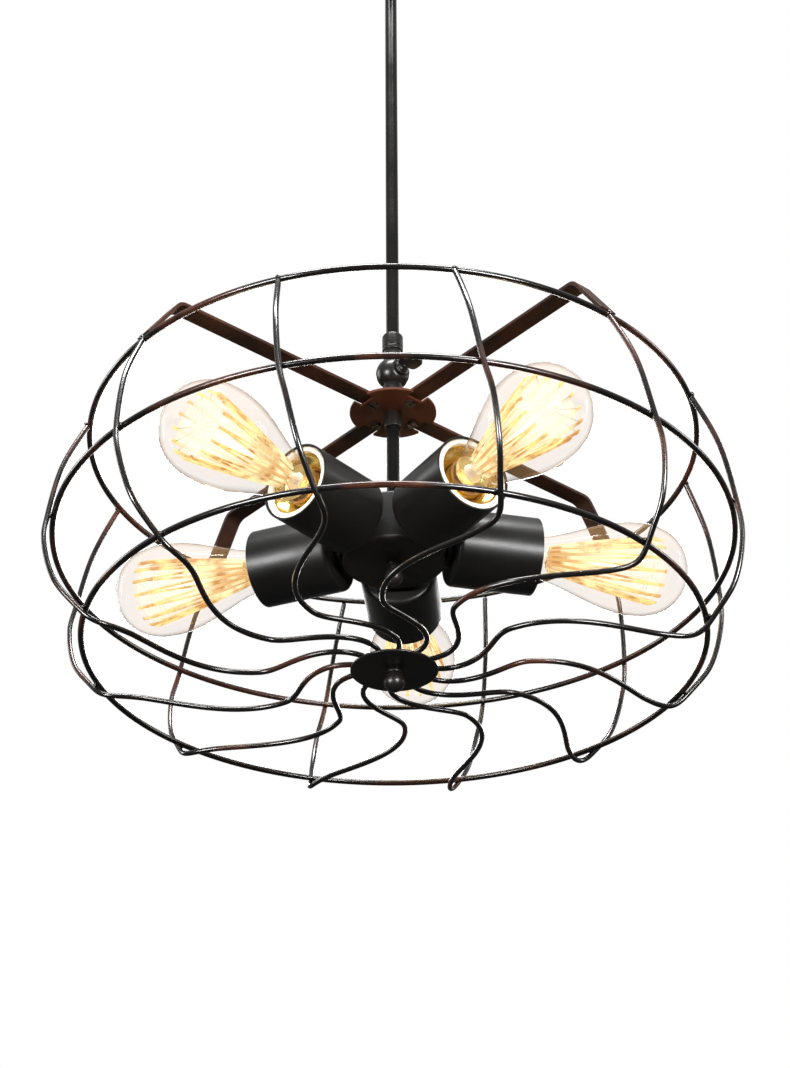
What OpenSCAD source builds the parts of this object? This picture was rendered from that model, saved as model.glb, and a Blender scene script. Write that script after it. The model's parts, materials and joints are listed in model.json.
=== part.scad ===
// Industrial cage pendant: five lamps on a hub inside a welded wire basket, hung on a rod
// through a tilting knuckle. Origin at the ceiling plane, on the rod's axis, +Z up.
// Azimuths are measured from the front (-Y) toward +X.

/* [Cage] */
// Height of the middle ring's plane below the ceiling
drop = 600; // [520:1:900]
// Diameter of the middle ring, the widest, on its centre-line
mid_ring_d = 450; // [400:1:560]
// Diameter of the top ring on its centre-line
top_ring_d = 412; // [360:1:520]
// Diameter of the bottom ring on its centre-line
low_ring_d = 403; // [340:1:520]
// Height of the top ring above the middle ring
top_ring_up = 80; // [60:1:110]
// Depth of the bottom ring below the middle ring
low_ring_down = 73; // [60:1:110]
// Depth of the basket floor below the bottom ring
floor_down = 11; // [9:0.5:16]
// Thickness of the ring wire
ring_wire_d = 4; // [3:0.1:6]
// Thickness of the basket's ribs
rib_wire_d = 3.6; // [2.6:0.1:5]
// How far the ribs bow out beyond a straight run from ring to ring
rib_bow = 5; // [0:0.5:10]
// Turn of a rib about the axis from the top ring down to the floor, degrees
side_turn = 8; // [0:1:14]
// Turn of a rib at the side loop of its S, degrees
loop_turn = -15; // [-22:1:-8]
// Turn of a rib where it reaches the bottom disc, degrees
end_turn = 26; // [10:1:34]
// Distance of the S loop from the axis
loop_r = 88; // [70:1:110]
// Diameter of the disc that the ribs end on
disc_d = 57; // [46:1:80]
// Thickness of the bottom disc
disc_t = 2; // [1.5:0.1:4]
// Diameter of the ball under the bottom disc
disc_ball_d = 12; // [8:0.5:18]

/* [Arms and hub] */
// Height of the hub plate's lower face above the middle ring
hub_up = 113; // [104:1:140]
// Diameter of the hub plate
hub_d = 60; // [54:1:76]
// Thickness of the hub plate
hub_t = 2; // [1.5:0.1:4]
// Width of an arm
arm_w = 13; // [9:0.5:16]
// Thickness of an arm
arm_t = 2.5; // [1.5:0.1:4]
// Length of the sloping tab at the end of an arm, measured outward
arm_tab = 23; // [15:1:32]
// Diameter of the screws through plate and arms
hub_screw_d = 4; // [3:0.5:5]
// Diameter of the stem from the hub plate to the lamp hub
stem_d = 9; // [8:0.1:14]
// Wall of the stem and of the rod
tube_wall = 1.1; // [0.8:0.1:2]

/* [Rod and canopy] */
// Diameter of the hanging rod
rod_d = 9; // [8:0.1:14]
// Diameter of the collar at the rod's foot
coupler_d = 14.6; // [13:0.1:22]
// Height of the collar at the rod's foot
coupler_h = 14.6; // [10:0.2:24]
// Diameter of the ceiling canopy
canopy_d = 120; // [110:1:160]
// Depth of the ceiling canopy
canopy_h = 26; // [22:1:45]
// Sheet thickness of the canopy
canopy_wall = 1.2; // [0.8:0.1:2]
// Width of the ceiling crossbar
bar_w = 22; // [16:1:30]
// Thickness of the ceiling crossbar
bar_t = 2.5; // [2:0.1:4]
// Distance between the two ceiling screw holes
bar_hole_gap = 56; // [50:1:64]
// Diameter of the two ceiling screw holes
bar_hole_d = 5; // [4:0.1:6]
// Distance between the two canopy studs
stud_gap = 84; // [80:1:88]

/* [Knuckle] */
// Diameter of the tilting knuckle
ball_d = 23.6; // [21:0.2:32]
// Height of the knuckle's centre above the hub plate's upper face
ball_up = 31.6; // [28:0.2:45]
// Azimuth of the knuckle's screw
ball_az = 42; // [0:1:90]
// Diameter of the clamping screw
pinch_d = 5; // [4:0.5:7]
// Length of the thumb wing, along the screw
wing_len = 13; // [9:0.5:18]
// Width of the thumb wing, across the screw
wing_w = 16; // [12:0.5:20]

/* [Lamps] */
// Height of the lamp axes above the middle ring
lamp_up = 11; // [2:1:20]
// Outer diameter of a socket cup
cup_d = 53; // [46:0.5:56]
// Length of a socket cup
cup_len = 58; // [50:1:66]
// Distance of the closed end of a cup from the axis
cup_back = 39; // [39:0.5:46]
// Sheet thickness of a cup
cup_wall = 1.2; // [0.8:0.1:2]
// Diameter of the lamp hub's drum
drum_d = 66; // [56:1:68]
// Height of the lamp hub's drum
drum_h = 35; // [32:1:46]
// Thickness of the plate that closes the drum
cover_t = 2.4; // [1.5:0.1:4]
// Diameter of the ball under the lamp hub
drum_ball_d = 12.4; // [8:0.2:18]
// Diameter of the screw cap of a bulb
cap_d = 26; // [24:0.1:27]
// Largest diameter of the bulb's glass
glass_d = 64; // [54:1:68]
// Length of the bulb's glass beyond its cap
glass_len = 115; // [100:1:120]
// Thickness of the glass
glass_wall = 0.8; // [0.6:0.1:1.2]

/* [Hidden] */
$fn = 64;
seat = 0.2;          // gap left at a seat on a curved face
fit = 0.1;           // radial gap of a pin in its bore
lamp_count = 5;
ribs_per_side = 3;
rib_count = 4 * ribs_per_side;
rib_first = 15;      // azimuth of the first rib
arm_first = 45;      // azimuth of the first arm, over a rib

mid_z = -drop;
top_z = mid_z + top_ring_up;
low_z = mid_z - low_ring_down;
floor_z = low_z - floor_down;
mid_r = mid_ring_d / 2;
top_r = top_ring_d / 2;
low_r = low_ring_d / 2;
rib_off = (ring_wire_d + rib_wire_d) / 2 + seat;

disc_top = floor_z - rib_wire_d / 2 - seat;
disc_r = disc_d / 2;
disc_ball_z = disc_top - disc_t - 3.5 - disc_ball_d / 2;
rib_end_r = disc_r - rib_wire_d;

hub_z = mid_z + hub_up;
hub_top = hub_z + hub_t;
hub_r = hub_d / 2;
arm_in = 12;         // inner end of an arm
arm_screw_r = 18;    // where an arm is screwed to the plate
arm_bend_r = top_r - arm_tab;

ball_z = hub_top + ball_up;
ball_r = ball_d / 2;
neck_r = ball_r * 0.56;
coupler_z = ball_z + ball_r + 7;
rod_in = 10;         // length of rod inside the collar at its foot
foot_r = arm_in - 1;
foot_h = 4;

lamp_z = mid_z + lamp_up;
drum_r = drum_d / 2;
drum_z = lamp_z - drum_h / 2 + 1.5;
drum_top = drum_z + drum_h;
drum_wall = 2;
nipple_r = 5;
boss_r = 13;
cup_r = cup_d / 2;
cup_mouth = cup_back + cup_len;

cap_r = cap_d / 2;
shell_in = cap_r + 0.35;
shell_t = 0.6;
shell_z = cup_mouth - 34.6;
shell_len = 21.6;
flare_z = shell_z + shell_len;
liner_r = cup_r - cup_wall - fit;
liner_t = 3.7;
liner_in = liner_r - liner_t;
cap_z = shell_z + 3.6;
cap_len = 25;
neck_z = cap_z + cap_len;
glass_r = glass_d / 2;
tip_z = neck_z + glass_len;

/* --- functions --------------------------------------------------------- */
function ease(t) = (1 - cos(180 * t)) / 2;
function mix(a, b, t) = a + (b - a) * t;
function unit(v) = v / norm(v);
function polar(r, az, z) = [r * sin(az), -r * cos(az), z];

// Catmull-Rom between b and c, t from 0 to 1
function spline(a, b, c, d, t) =
    0.5 * ((2 * b) + (c - a) * t + (2 * a - 5 * b + 4 * c - d) * t * t
    + (3 * b - a - 3 * c + d) * t * t * t);

// Stations of a rib's side, from the top ring past the others to the floor: [radius, height]
rib_side = [
    [top_r + rib_off - 3, top_z + 8],
    [top_r + rib_off, top_z],
    [mix(top_r, mid_r, 0.5) + rib_off + rib_bow / 2, mix(top_z, mid_z, 0.48)],
    [mid_r + rib_off, mid_z],
    [mid_r + rib_off + rib_bow * 0.2, mix(mid_z, low_z, 0.33)],
    [mix(mid_r, low_r, 0.5) + rib_off + rib_bow, mix(mid_z, low_z, 0.72)],
    [low_r + rib_off + 1.2, low_z],
    [low_r - 5, floor_z - 0.5],
    [low_r - 18, floor_z]];
side_steps = 3;
floor_steps = 22;
side_spans = len(rib_side) - 3;

function side_pt(k, t) = spline(rib_side[k - 1], rib_side[k], rib_side[k + 1], rib_side[k + 2], t);

// Turn of the floor run at radius r, in two eased legs of the S
function floor_turn(r) = r > loop_r
    ? mix(side_turn, loop_turn, ease((rib_side[side_spans + 1][0] - r)
        / (rib_side[side_spans + 1][0] - loop_r)))
    : mix(loop_turn, end_turn, ease((loop_r - r) / (loop_r - rib_end_r)));

// Points of one rib as [radius, azimuth, height]
rib_run = concat(
    [for (k = [1 : side_spans], j = [0 : side_steps - 1])
        let (p = side_pt(k, j / side_steps))
        [p[0], side_turn * (k - 1 + j / side_steps) / side_spans, p[1]]],
    [for (j = [0 : floor_steps])
        let (r = mix(rib_side[side_spans + 1][0], rib_end_r, j / floor_steps))
        [r, floor_turn(r), mix(rib_side[side_spans + 1][1], floor_z, min(1, j / 2))]]);

function rib_point(k, az) = polar(rib_run[k][0], az + rib_run[k][1], rib_run[k][2]);

// A round tube of 8 sides along a rib; each section is squared up to the run
module rib(az, sides = 8) {
    n = len(rib_run);
    pts = [for (k = [0 : n - 1]) rib_point(k, az)];
    dirs = [for (k = [0 : n - 1]) unit(pts[min(k + 1, n - 1)] - pts[max(k - 1, 0)])];
    across = [for (k = [0 : n - 1])
        let (a = az + rib_run[k][1], e = [cos(a), sin(a), 0])
        unit(e - (e * dirs[k]) * dirs[k])];
    verts = [for (k = [0 : n - 1], j = [0 : sides - 1])
        let (up = cross(dirs[k], across[k]), a = 360 * (j + 0.5) / sides)
        pts[k] + rib_wire_d / 2 * (cos(a) * across[k] + sin(a) * up)];
    walls = [for (k = [0 : n - 2], j = [0 : sides - 1])
        let (i = (j + 1) % sides)
        [k * sides + j, (k + 1) * sides + j, (k + 1) * sides + i, k * sides + i]];
    ends = [[for (j = [0 : sides - 1]) j], [for (j = [sides - 1 : -1 : 0]) (n - 1) * sides + j]];
    polyhedron(verts, concat(walls, ends), convexity = 6);
}

module ribs(side) {
    for (i = [0 : ribs_per_side - 1])
        rib(rib_first + 360 / rib_count * (side * ribs_per_side + i));
}

module wire_ring(r, z) {
    translate([0, 0, z]) rotate_extrude($fn = 128) translate([r, 0]) circle(d = ring_wire_d, $fn = 32);
}

// Turns +Z to point outward at azimuth az, at height z
module outward(az, z) {
    translate([0, 0, z]) rotate([0, 0, az - 90]) rotate([0, 90, 0]) children();
}

function lamp_az(i) = 36 + 360 / lamp_count * (i - 1);

// A ball hanging on a short neck under a flat face at z
module hung_ball(z, d, neck = 3.5) {
    translate([0, 0, z]) rotate_extrude() difference() {
        union() {
            translate([0, -neck - 1]) square([d * 0.24, neck + 1]);
            translate([0, -1.2]) square([d * 0.4, 1.2]);
            translate([0, -neck - d / 2]) circle(d = d);
        }
        translate([-d, -neck - d - 1]) square([d, neck + d + 4]);
    }
}

/* --- ceiling ----------------------------------------------------------- */
module ceiling_bracket() color("#8a8c8e") difference() {
    union() {
        intersection() {
            translate([-canopy_d / 2, -bar_w / 2, -bar_t]) cube([canopy_d, bar_w, bar_t]);
            translate([0, 0, -bar_t - 1]) cylinder(r = canopy_d / 2 - 6, h = bar_t + 2);
        }
        translate([0, 0, -bar_t - 8]) cylinder(r = rod_d / 2 + 3.5, h = bar_t + 7);
    }
    translate([0, 0, -bar_t - 9]) cylinder(r = rod_d / 2 + fit, h = bar_t + 10);
    for (s = [-1, 1]) {
        translate([s * bar_hole_gap / 2, 0, -bar_t - 1]) cylinder(d = bar_hole_d, h = bar_t + 2);
        translate([s * stud_gap / 2, 0, -bar_t - 1]) cylinder(r = 2 + fit, h = bar_t + 2);
    }
}

module canopy() color("#1a1918") difference() {
    rotate_extrude($fn = 96) difference() {
        union() {
            translate([0, -canopy_h]) square([canopy_d / 2 - 8, canopy_h]);
            translate([0, -canopy_h + 8]) square([canopy_d / 2, canopy_h - 8]);
            translate([canopy_d / 2 - 8, -canopy_h + 8]) intersection() {
                circle(r = 8);
                translate([0, -8]) square(8);
            }
        }
        translate([-1, -canopy_h + canopy_wall]) square([canopy_d / 2 - 7, canopy_h]);
        translate([0, -canopy_h + 8]) square([canopy_d / 2 - canopy_wall, canopy_h]);
        translate([canopy_d / 2 - 8, -canopy_h + 8]) intersection() {
            circle(r = 8 - canopy_wall);
            translate([-0.01, -8]) square([8, 8.01]);
        }
    }
    translate([0, 0, -canopy_h - 1]) cylinder(r = rod_d / 2 + fit, h = canopy_wall + 2);
    for (s = [-1, 1])
        translate([s * stud_gap / 2, 0, -canopy_h - 1]) cylinder(r = 2 + fit, h = canopy_wall + 2);
}

module canopy_studs() color("#1a1918") for (s = [-1, 1]) translate([s * stud_gap / 2, 0, 0]) {
    translate([0, 0, -canopy_h - 3]) cylinder(r = 2, h = canopy_h + 2.5);
    translate([0, 0, -canopy_h]) rotate_extrude() difference() {
        union() {
            translate([0, -3]) square([4.5, 3]);
            translate([0, -4]) circle(r = 4);
        }
        translate([-9, -10]) square([9, 12]);
    }
}

module canopy_collar() color("#1a1918") difference() {
    union() {
        translate([0, 0, -canopy_h - 11]) cylinder(r = rod_d / 2 + 4.5, h = 11);
        outward(90, -canopy_h - 5.5) cylinder(r = 2, h = rod_d / 2 + 7);
    }
    translate([0, 0, -canopy_h - 12]) cylinder(r = rod_d / 2 + fit, h = 13);
}

module downrod() color("#1a1918") difference() {
    translate([0, 0, coupler_z + coupler_h - rod_in])
        cylinder(d = rod_d, h = -coupler_z - coupler_h + rod_in - 0.5);
    translate([0, 0, coupler_z]) cylinder(d = rod_d - 2 * tube_wall, h = -coupler_z + 1);
}

module rod_coupler() color("#1a1918") translate([0, 0, coupler_z]) difference() {
    rotate_extrude() union() {
        square([coupler_d / 2, coupler_h - 3]);
        square([coupler_d / 2 - 3, coupler_h]);
        translate([coupler_d / 2 - 3, coupler_h - 3]) circle(r = 3);
    }
    translate([0, 0, coupler_h - rod_in - fit]) cylinder(r = rod_d / 2 + fit, h = rod_in + 1);
    translate([0, 0, -1]) cylinder(d = rod_d - 2 * tube_wall, h = coupler_h + 2);
}

/* --- knuckle ----------------------------------------------------------- */
// Half of the ball, on the side where the screw's azimuth points when side is 1
module half_ball(side) {
    outward(ball_az, ball_z) difference() {
        intersection() {
            sphere(r = ball_r);
            translate([-ball_r, -ball_r, side > 0 ? seat / 2 : -ball_r])
                cube([2 * ball_r, 2 * ball_r, ball_r - seat / 2]);
        }
        if (side > 0) translate([0, 0, -1]) cylinder(r = pinch_d / 2 + fit, h = ball_r + 2);
        else translate([0, 0, -ball_r * 0.7]) cylinder(r = pinch_d / 2 + fit / 2, h = ball_r);
        if (side > 0) translate([0, 0, ball_r * 0.8]) cylinder(r = ball_r, h = ball_r);
        else translate([0, 0, -ball_r * 1.9]) cylinder(r = ball_r, h = ball_r);
    }
}

// What joins a half ball to its collar or foot: kept to that half's side inside the ball
module half_neck(side, r, h) {
    intersection() {
        difference() {
            cylinder(r = r, h = h);
            sphere(r = ball_r - 1.5);
        }
        union() {
            rotate([0, 0, ball_az - 90]) translate([side > 0 ? seat / 2 : -2 * ball_r, -ball_r, -ball_r])
                cube([2 * ball_r - seat / 2, 2 * ball_r, 3 * ball_r]);
            translate([0, 0, ball_r + 0.6]) cylinder(r = 2 * r, h = h);
        }
    }
}

module knuckle_upper() color("#1f1d1b") {
    half_ball(1);
    translate([0, 0, ball_z]) half_neck(1, neck_r, ball_r + 7);
}

module knuckle_lower() color("#1f1d1b") difference() {
    union() {
        half_ball(-1);
        translate([0, 0, ball_z]) mirror([0, 0, 1]) half_neck(-1, neck_r, ball_up - foot_h / 2);
        translate([0, 0, hub_top]) cylinder(r = foot_r, h = foot_h);
    }
    translate([0, 0, hub_top - 1]) cylinder(r = stem_d / 2 + fit, h = foot_h + 1);
}

// Shaft from the far half through the near half, a stepped boss and the wing
module thumb_screw() color("#1f1d1b") outward(ball_az, ball_z) difference() {
    union() {
        translate([0, 0, -ball_r * 0.6]) cylinder(d = pinch_d, h = ball_r * 1.4 + seat);
        translate([0, 0, ball_r * 0.8 + seat]) rotate_extrude() union() {
            square([5.4, 1.6]);
            square([4.2, 3]);
            square([2.8, 6]);
        }
        translate([-1.6, -wing_w / 2 + 4, ball_r * 0.8 + 4]) cube([3.2, wing_w - 8, wing_len]);
        translate([-1.6, 0, ball_r * 0.8 + 8]) for (s = [-1, 1]) translate([0, s * (wing_w / 2 - 4), 0])
            rotate([0, 90, 0]) cylinder(r = 4, h = 3.2);
        translate([-1.6, -wing_w / 2, ball_r * 0.8 + 8]) cube([3.2, wing_w, wing_len - 8]);
        for (s = [-1, 1]) translate([-1.6, s * (wing_w / 2 - 4), ball_r * 0.8 + wing_len])
            rotate([0, 90, 0]) cylinder(r = 4, h = 3.2);
    }
}

/* --- hub plate and arms ------------------------------------------------ */
module at_arms() {
    for (i = [0 : 3]) rotate([0, 0, arm_first + 90 * i - 90]) children();
}

module hub_plate() color("#2a1a12") difference() {
    translate([0, 0, hub_z]) cylinder(r = hub_r, h = hub_t);
    at_arms() {
        translate([hub_r - 4, -arm_w / 2, hub_z - 1]) cube([8, arm_w, hub_t + 2]);
        translate([arm_screw_r, 0, hub_z - 1]) cylinder(r = hub_screw_d / 2 + fit, h = hub_t + 2);
    }
    translate([0, 0, hub_z - 1]) cylinder(r = stem_d / 2 + fit, h = hub_t + 2);
}

module hub_screws() color("#6f6a63") at_arms() translate([arm_screw_r, 0, 0]) {
    translate([0, 0, hub_z]) cylinder(d = hub_screw_d, h = hub_t + arm_t + 0.8);
    translate([0, 0, hub_z - 2]) difference() {
        cylinder(d = hub_screw_d * 1.9, h = 2);
        translate([-hub_screw_d, -0.5, -1]) cube([hub_screw_d * 2, 1, 1.9]);
    }
    translate([0, 0, hub_top + arm_t]) cylinder(d = hub_screw_d * 1.9, h = 2.2, $fn = 6);
}

// Flat bar from the plate outward, then a tab that slopes down onto the top ring
module arm(i) color("#241812") rotate([0, 0, arm_first + 90 * (i - 1) - 90]) difference() {
    translate([0, arm_w / 2, 0]) rotate([90, 0, 0]) linear_extrude(arm_w) polygon([
        [arm_in, hub_top], [arm_bend_r, hub_top],
        [top_r - arm_t / 2, top_z + ring_wire_d / 2 + seat],
        [top_r + arm_t * 0.7, top_z + ring_wire_d / 2 + seat + 0.4],
        [arm_bend_r + arm_t / 2, hub_top + arm_t], [arm_in, hub_top + arm_t]]);
    translate([arm_screw_r, 0, hub_top - 1]) cylinder(r = hub_screw_d / 2 + fit, h = arm_t + 2);
}

/* --- stem and lamp hub ------------------------------------------------- */
module stem_tube() color("#1a1918") difference() {
    translate([0, 0, drum_top - drum_wall - 4])
        cylinder(d = stem_d, h = hub_top + foot_h - 1 - drum_top + drum_wall + 4);
    translate([0, 0, drum_top - 20]) cylinder(d = stem_d - 2 * tube_wall, h = hub_up + 40);
}

module stem_collars() color("#1a1918") difference() {
    union() {
        translate([0, 0, hub_z - 5]) cylinder(r = stem_d / 2 + 2, h = 5);
        translate([0, 0, drum_top]) rotate_extrude() union() {
            square([stem_d / 2 + 5, 2]);
            square([stem_d / 2 + 2.6, 8]);
        }
    }
    translate([0, 0, drum_top - 1]) cylinder(r = stem_d / 2 + fit, h = hub_z - drum_top + 2);
}

module lamp_hub() color("#1a1918") difference() {
    translate([0, 0, drum_z]) cylinder(r = drum_r, h = drum_h);
    translate([0, 0, drum_z - 1]) cylinder(r = drum_r - drum_wall, h = drum_h - drum_wall + 1);
    translate([0, 0, drum_top - drum_wall - 1]) cylinder(r = stem_d / 2 + fit, h = drum_wall + 2);
    for (i = [1 : lamp_count]) outward(lamp_az(i), lamp_z)
        translate([0, 0, drum_r - drum_wall - 3]) cylinder(r = nipple_r + fit, h = drum_wall + 8);
}

module hub_cover() color("#1a1918") union() {
    translate([0, 0, drum_z - cover_t]) cylinder(r = drum_r + 1.2, h = cover_t);
    translate([0, 0, drum_z]) difference() {
        cylinder(r = drum_r - drum_wall - 0.3, h = 3);
        translate([0, 0, -1]) cylinder(r = drum_r - drum_wall - 1.5, h = 5);
    }
}

module hub_finial() color("#1f1d1b") hung_ball(drum_z - cover_t, drum_ball_d);

// A boss between drum and cup, and the threaded tube through both
module socket_nipples() color("#1a1918") for (i = [1 : lamp_count]) difference() {
    outward(lamp_az(i), lamp_z) union() {
        translate([0, 0, drum_r - drum_wall - 4]) cylinder(r = nipple_r, h = cup_back - drum_r + drum_wall + 8);
        translate([0, 0, drum_r - 4]) cylinder(r = boss_r, h = cup_back - drum_r + 4);
    }
    difference() {
        translate([0, 0, drum_z - 4]) cylinder(r = drum_r + seat, h = drum_h + 8);
        outward(lamp_az(i), lamp_z) cylinder(r = nipple_r, h = cup_back);
    }
    outward(lamp_az(i), lamp_z) cylinder(r = nipple_r - 1.2, h = cup_back + 10);
}

module socket_cup(i) color("#1a1918") outward(lamp_az(i), lamp_z) difference() {
    rotate_extrude($fn = 96) difference() {
        union() {
            translate([0, cup_back]) square([cup_r - 4, 6]);
            translate([0, cup_back + 4]) square([cup_r, cup_len - 4]);
            translate([cup_r - 4, cup_back + 4]) intersection() {
                circle(r = 4);
                translate([0, -4]) square(4);
            }
        }
        translate([-1, cup_back + cup_wall]) square([cup_r - 3, 7]);
        translate([-1, cup_back + 4]) square([cup_r - cup_wall + 1, cup_len]);
        translate([cup_r - 4, cup_back + 4]) intersection() {
            circle(r = 4 - cup_wall);
            translate([-0.01, -4]) square([4, 4.01]);
        }
    }
    translate([0, 0, cup_back - 1]) cylinder(r = nipple_r + fit, h = cup_wall + 2);
}

// White insulator: a sleeve whose rim shows at the mouth, a web and a core under the shell
module lamp_liner(i) color("#efece4") outward(lamp_az(i), lamp_z) difference() {
    union() {
        translate([0, 0, cup_back + 8]) cylinder(r = liner_r, h = cup_len - 8.8, $fn = 96);
    }
    translate([0, 0, cup_back + 12]) difference() {
        cylinder(r = liner_in, h = cup_len, $fn = 96);
        translate([0, 0, -1]) cylinder(r = shell_in + shell_t, h = shell_z - cup_back - 11);
    }
    translate([0, 0, cup_back + 7]) cylinder(r = 3, h = shell_z - cup_back);
}

// Brass screw shell with a flared skirt, and its centre contact on a post
module lamp_shell(i) color("#b8892e") outward(lamp_az(i), lamp_z) {
    rotate_extrude() polygon([
        [3.6, shell_z], [shell_in + shell_t, shell_z], [shell_in + shell_t, flare_z],
        [liner_in - 0.3, flare_z + 9], [liner_in - 0.3, flare_z + 9 + shell_t],
        [liner_in - 0.9, flare_z + 9 + shell_t], [shell_in, flare_z + 0.4],
        [shell_in, shell_z + shell_t], [3.6, shell_z + shell_t]]);
    translate([0, 0, cup_back + 12]) cylinder(r = 2.4, h = shell_z - cup_back - 9);
    translate([0, 0, cap_z - 1.2]) cylinder(r = 4.5, h = 1);
}

/* --- bulbs ------------------------------------------------------------- */
thread_pitch = 3.6;
cap_wall = 1;
module bulb_cap(i) color("#c8b27a") outward(lamp_az(i), lamp_z) rotate_extrude() polygon(concat(
    [[0, cap_z], [4.2, cap_z], [5, cap_z + 0.6], [8, cap_z + 2.4], [cap_r - 1.4, cap_z + 3.6]],
    [for (k = [0 : 4], s = [0, 1])
        [cap_r - (s == 0 ? 1 : 0), cap_z + 3.6 + thread_pitch * (k + (s + 0.5) / 2)]],
    [[cap_r - 1, cap_z + cap_len - 2], [cap_r, cap_z + cap_len - 1.4], [cap_r, neck_z],
     [cap_r - 1 - cap_wall, neck_z], [cap_r - 1 - cap_wall, cap_z + 5.2], [8, cap_z + 4],
     [0, cap_z + 2]]));

// Outline of the glass: straight flare from the neck to the shoulder, then a dome
function glass_at(t) =
    let (s = 0.68)
    t < s ? mix(cap_r + 0.3, glass_r, pow(ease(t / s), 0.92))
          : glass_r * pow(max(0, 1 - pow((t - s) / (1 - s), 2.35)), 0.5);
glass_ts = [for (k = [0 : 11]) k / 12 * 0.68, for (k = [0 : 9]) 0.68 + 0.32 * sin(9 * k), 1];

module bulb_glass(i) color([1, 0.86, 0.62, 0.45]) outward(lamp_az(i), lamp_z) rotate_extrude()
    polygon(concat(
        [[0, neck_z]],
        [for (t = glass_ts) [glass_at(t), neck_z + glass_len * t]],
        [for (k = [len(glass_ts) - 1 : -1 : 0])
            let (t = glass_ts[k], end = t > 0.68 ? (t - 0.68) / 0.32 : 0)
            [max(0, glass_at(t) - (t == 1 ? 0 : glass_wall)),
             max(neck_z + 1, neck_z + glass_len * t - glass_wall * end)]],
        [[0, neck_z + 1]]));

// Glass post with two spiders and the long strands between them
strand_in = 8;
strand_out = 17;
strand_z = neck_z + 17;
strand_len = glass_len - 41;
module bulb_filament(i) color("#e8a33c") outward(lamp_az(i), lamp_z) {
    translate([0, 0, neck_z + 1]) cylinder(r = 9, h = 2);
    translate([0, 0, neck_z + 2]) cylinder(r = 2, h = strand_z - neck_z + strand_len - 1);
    translate([0, 0, strand_z - 1]) cylinder(r = strand_in + 1, h = 1.2);
    translate([0, 0, strand_z + strand_len - 0.2]) cylinder(r = strand_out + 1, h = 1.2);
    for (k = [0 : 9]) rotate([0, 0, 36 * k]) translate([strand_in, 0, strand_z - 0.5])
        rotate([0, atan((strand_out - strand_in) / strand_len), 0])
        cylinder(r = 0.4, h = norm([strand_len, strand_out - strand_in]) + 0.5, $fn = 16);
}

/* --- basket ------------------------------------------------------------ */
module top_ring() color("#1d1a18") wire_ring(top_r, top_z);
module middle_ring() color("#1d1a18") wire_ring(mid_r, mid_z);
module bottom_ring() color("#1d1a18") wire_ring(low_r, low_z);
module ribs_right() color("#1d1a18") ribs(0);
module ribs_back() color("#1d1a18") ribs(1);
module ribs_left() color("#1d1a18") ribs(2);
module ribs_front() color("#1d1a18") ribs(3);
module bottom_disc() color("#1a1918") translate([0, 0, disc_top - disc_t]) cylinder(r = disc_r, h = disc_t);
module bottom_finial() color("#1f1d1b") hung_ball(disc_top - disc_t, disc_ball_d);

ceiling_bracket();
canopy();
canopy_studs();
canopy_collar();
downrod();
rod_coupler();
knuckle_upper();
knuckle_lower();
thumb_screw();
hub_plate();
hub_screws();
arm(1);  // arm_1
arm(2);  // arm_2
arm(3);  // arm_3
arm(4);  // arm_4
stem_tube();
stem_collars();
lamp_hub();
hub_cover();
hub_finial();
socket_nipples();
socket_cup(1);  // socket_cup_1
socket_cup(2);  // socket_cup_2
socket_cup(3);  // socket_cup_3
socket_cup(4);  // socket_cup_4
socket_cup(5);  // socket_cup_5
lamp_liner(1);  // lamp_liner_1
lamp_liner(2);  // lamp_liner_2
lamp_liner(3);  // lamp_liner_3
lamp_liner(4);  // lamp_liner_4
lamp_liner(5);  // lamp_liner_5
lamp_shell(1);  // lamp_shell_1
lamp_shell(2);  // lamp_shell_2
lamp_shell(3);  // lamp_shell_3
lamp_shell(4);  // lamp_shell_4
lamp_shell(5);  // lamp_shell_5
bulb_cap(1);  // bulb_cap_1
bulb_cap(2);  // bulb_cap_2
bulb_cap(3);  // bulb_cap_3
bulb_cap(4);  // bulb_cap_4
bulb_cap(5);  // bulb_cap_5
bulb_glass(1);  // bulb_glass_1
bulb_glass(2);  // bulb_glass_2
bulb_glass(3);  // bulb_glass_3
bulb_glass(4);  // bulb_glass_4
bulb_glass(5);  // bulb_glass_5
bulb_filament(1);  // bulb_filament_1
bulb_filament(2);  // bulb_filament_2
bulb_filament(3);  // bulb_filament_3
bulb_filament(4);  // bulb_filament_4
bulb_filament(5);  // bulb_filament_5
top_ring();
middle_ring();
bottom_ring();
ribs_front();
ribs_right();
ribs_back();
ribs_left();
bottom_disc();
bottom_finial();
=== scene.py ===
"""A caged pendant light: five filament lamps in cup sockets, inside a welded wire basket on a rod."""
import json
import logging
import math
from collections.abc import Callable, Iterable, Sequence
from dataclasses import dataclass
from enum import Enum
from functools import cache

import bmesh
import bpy
from mathutils import Matrix, Vector

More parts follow.
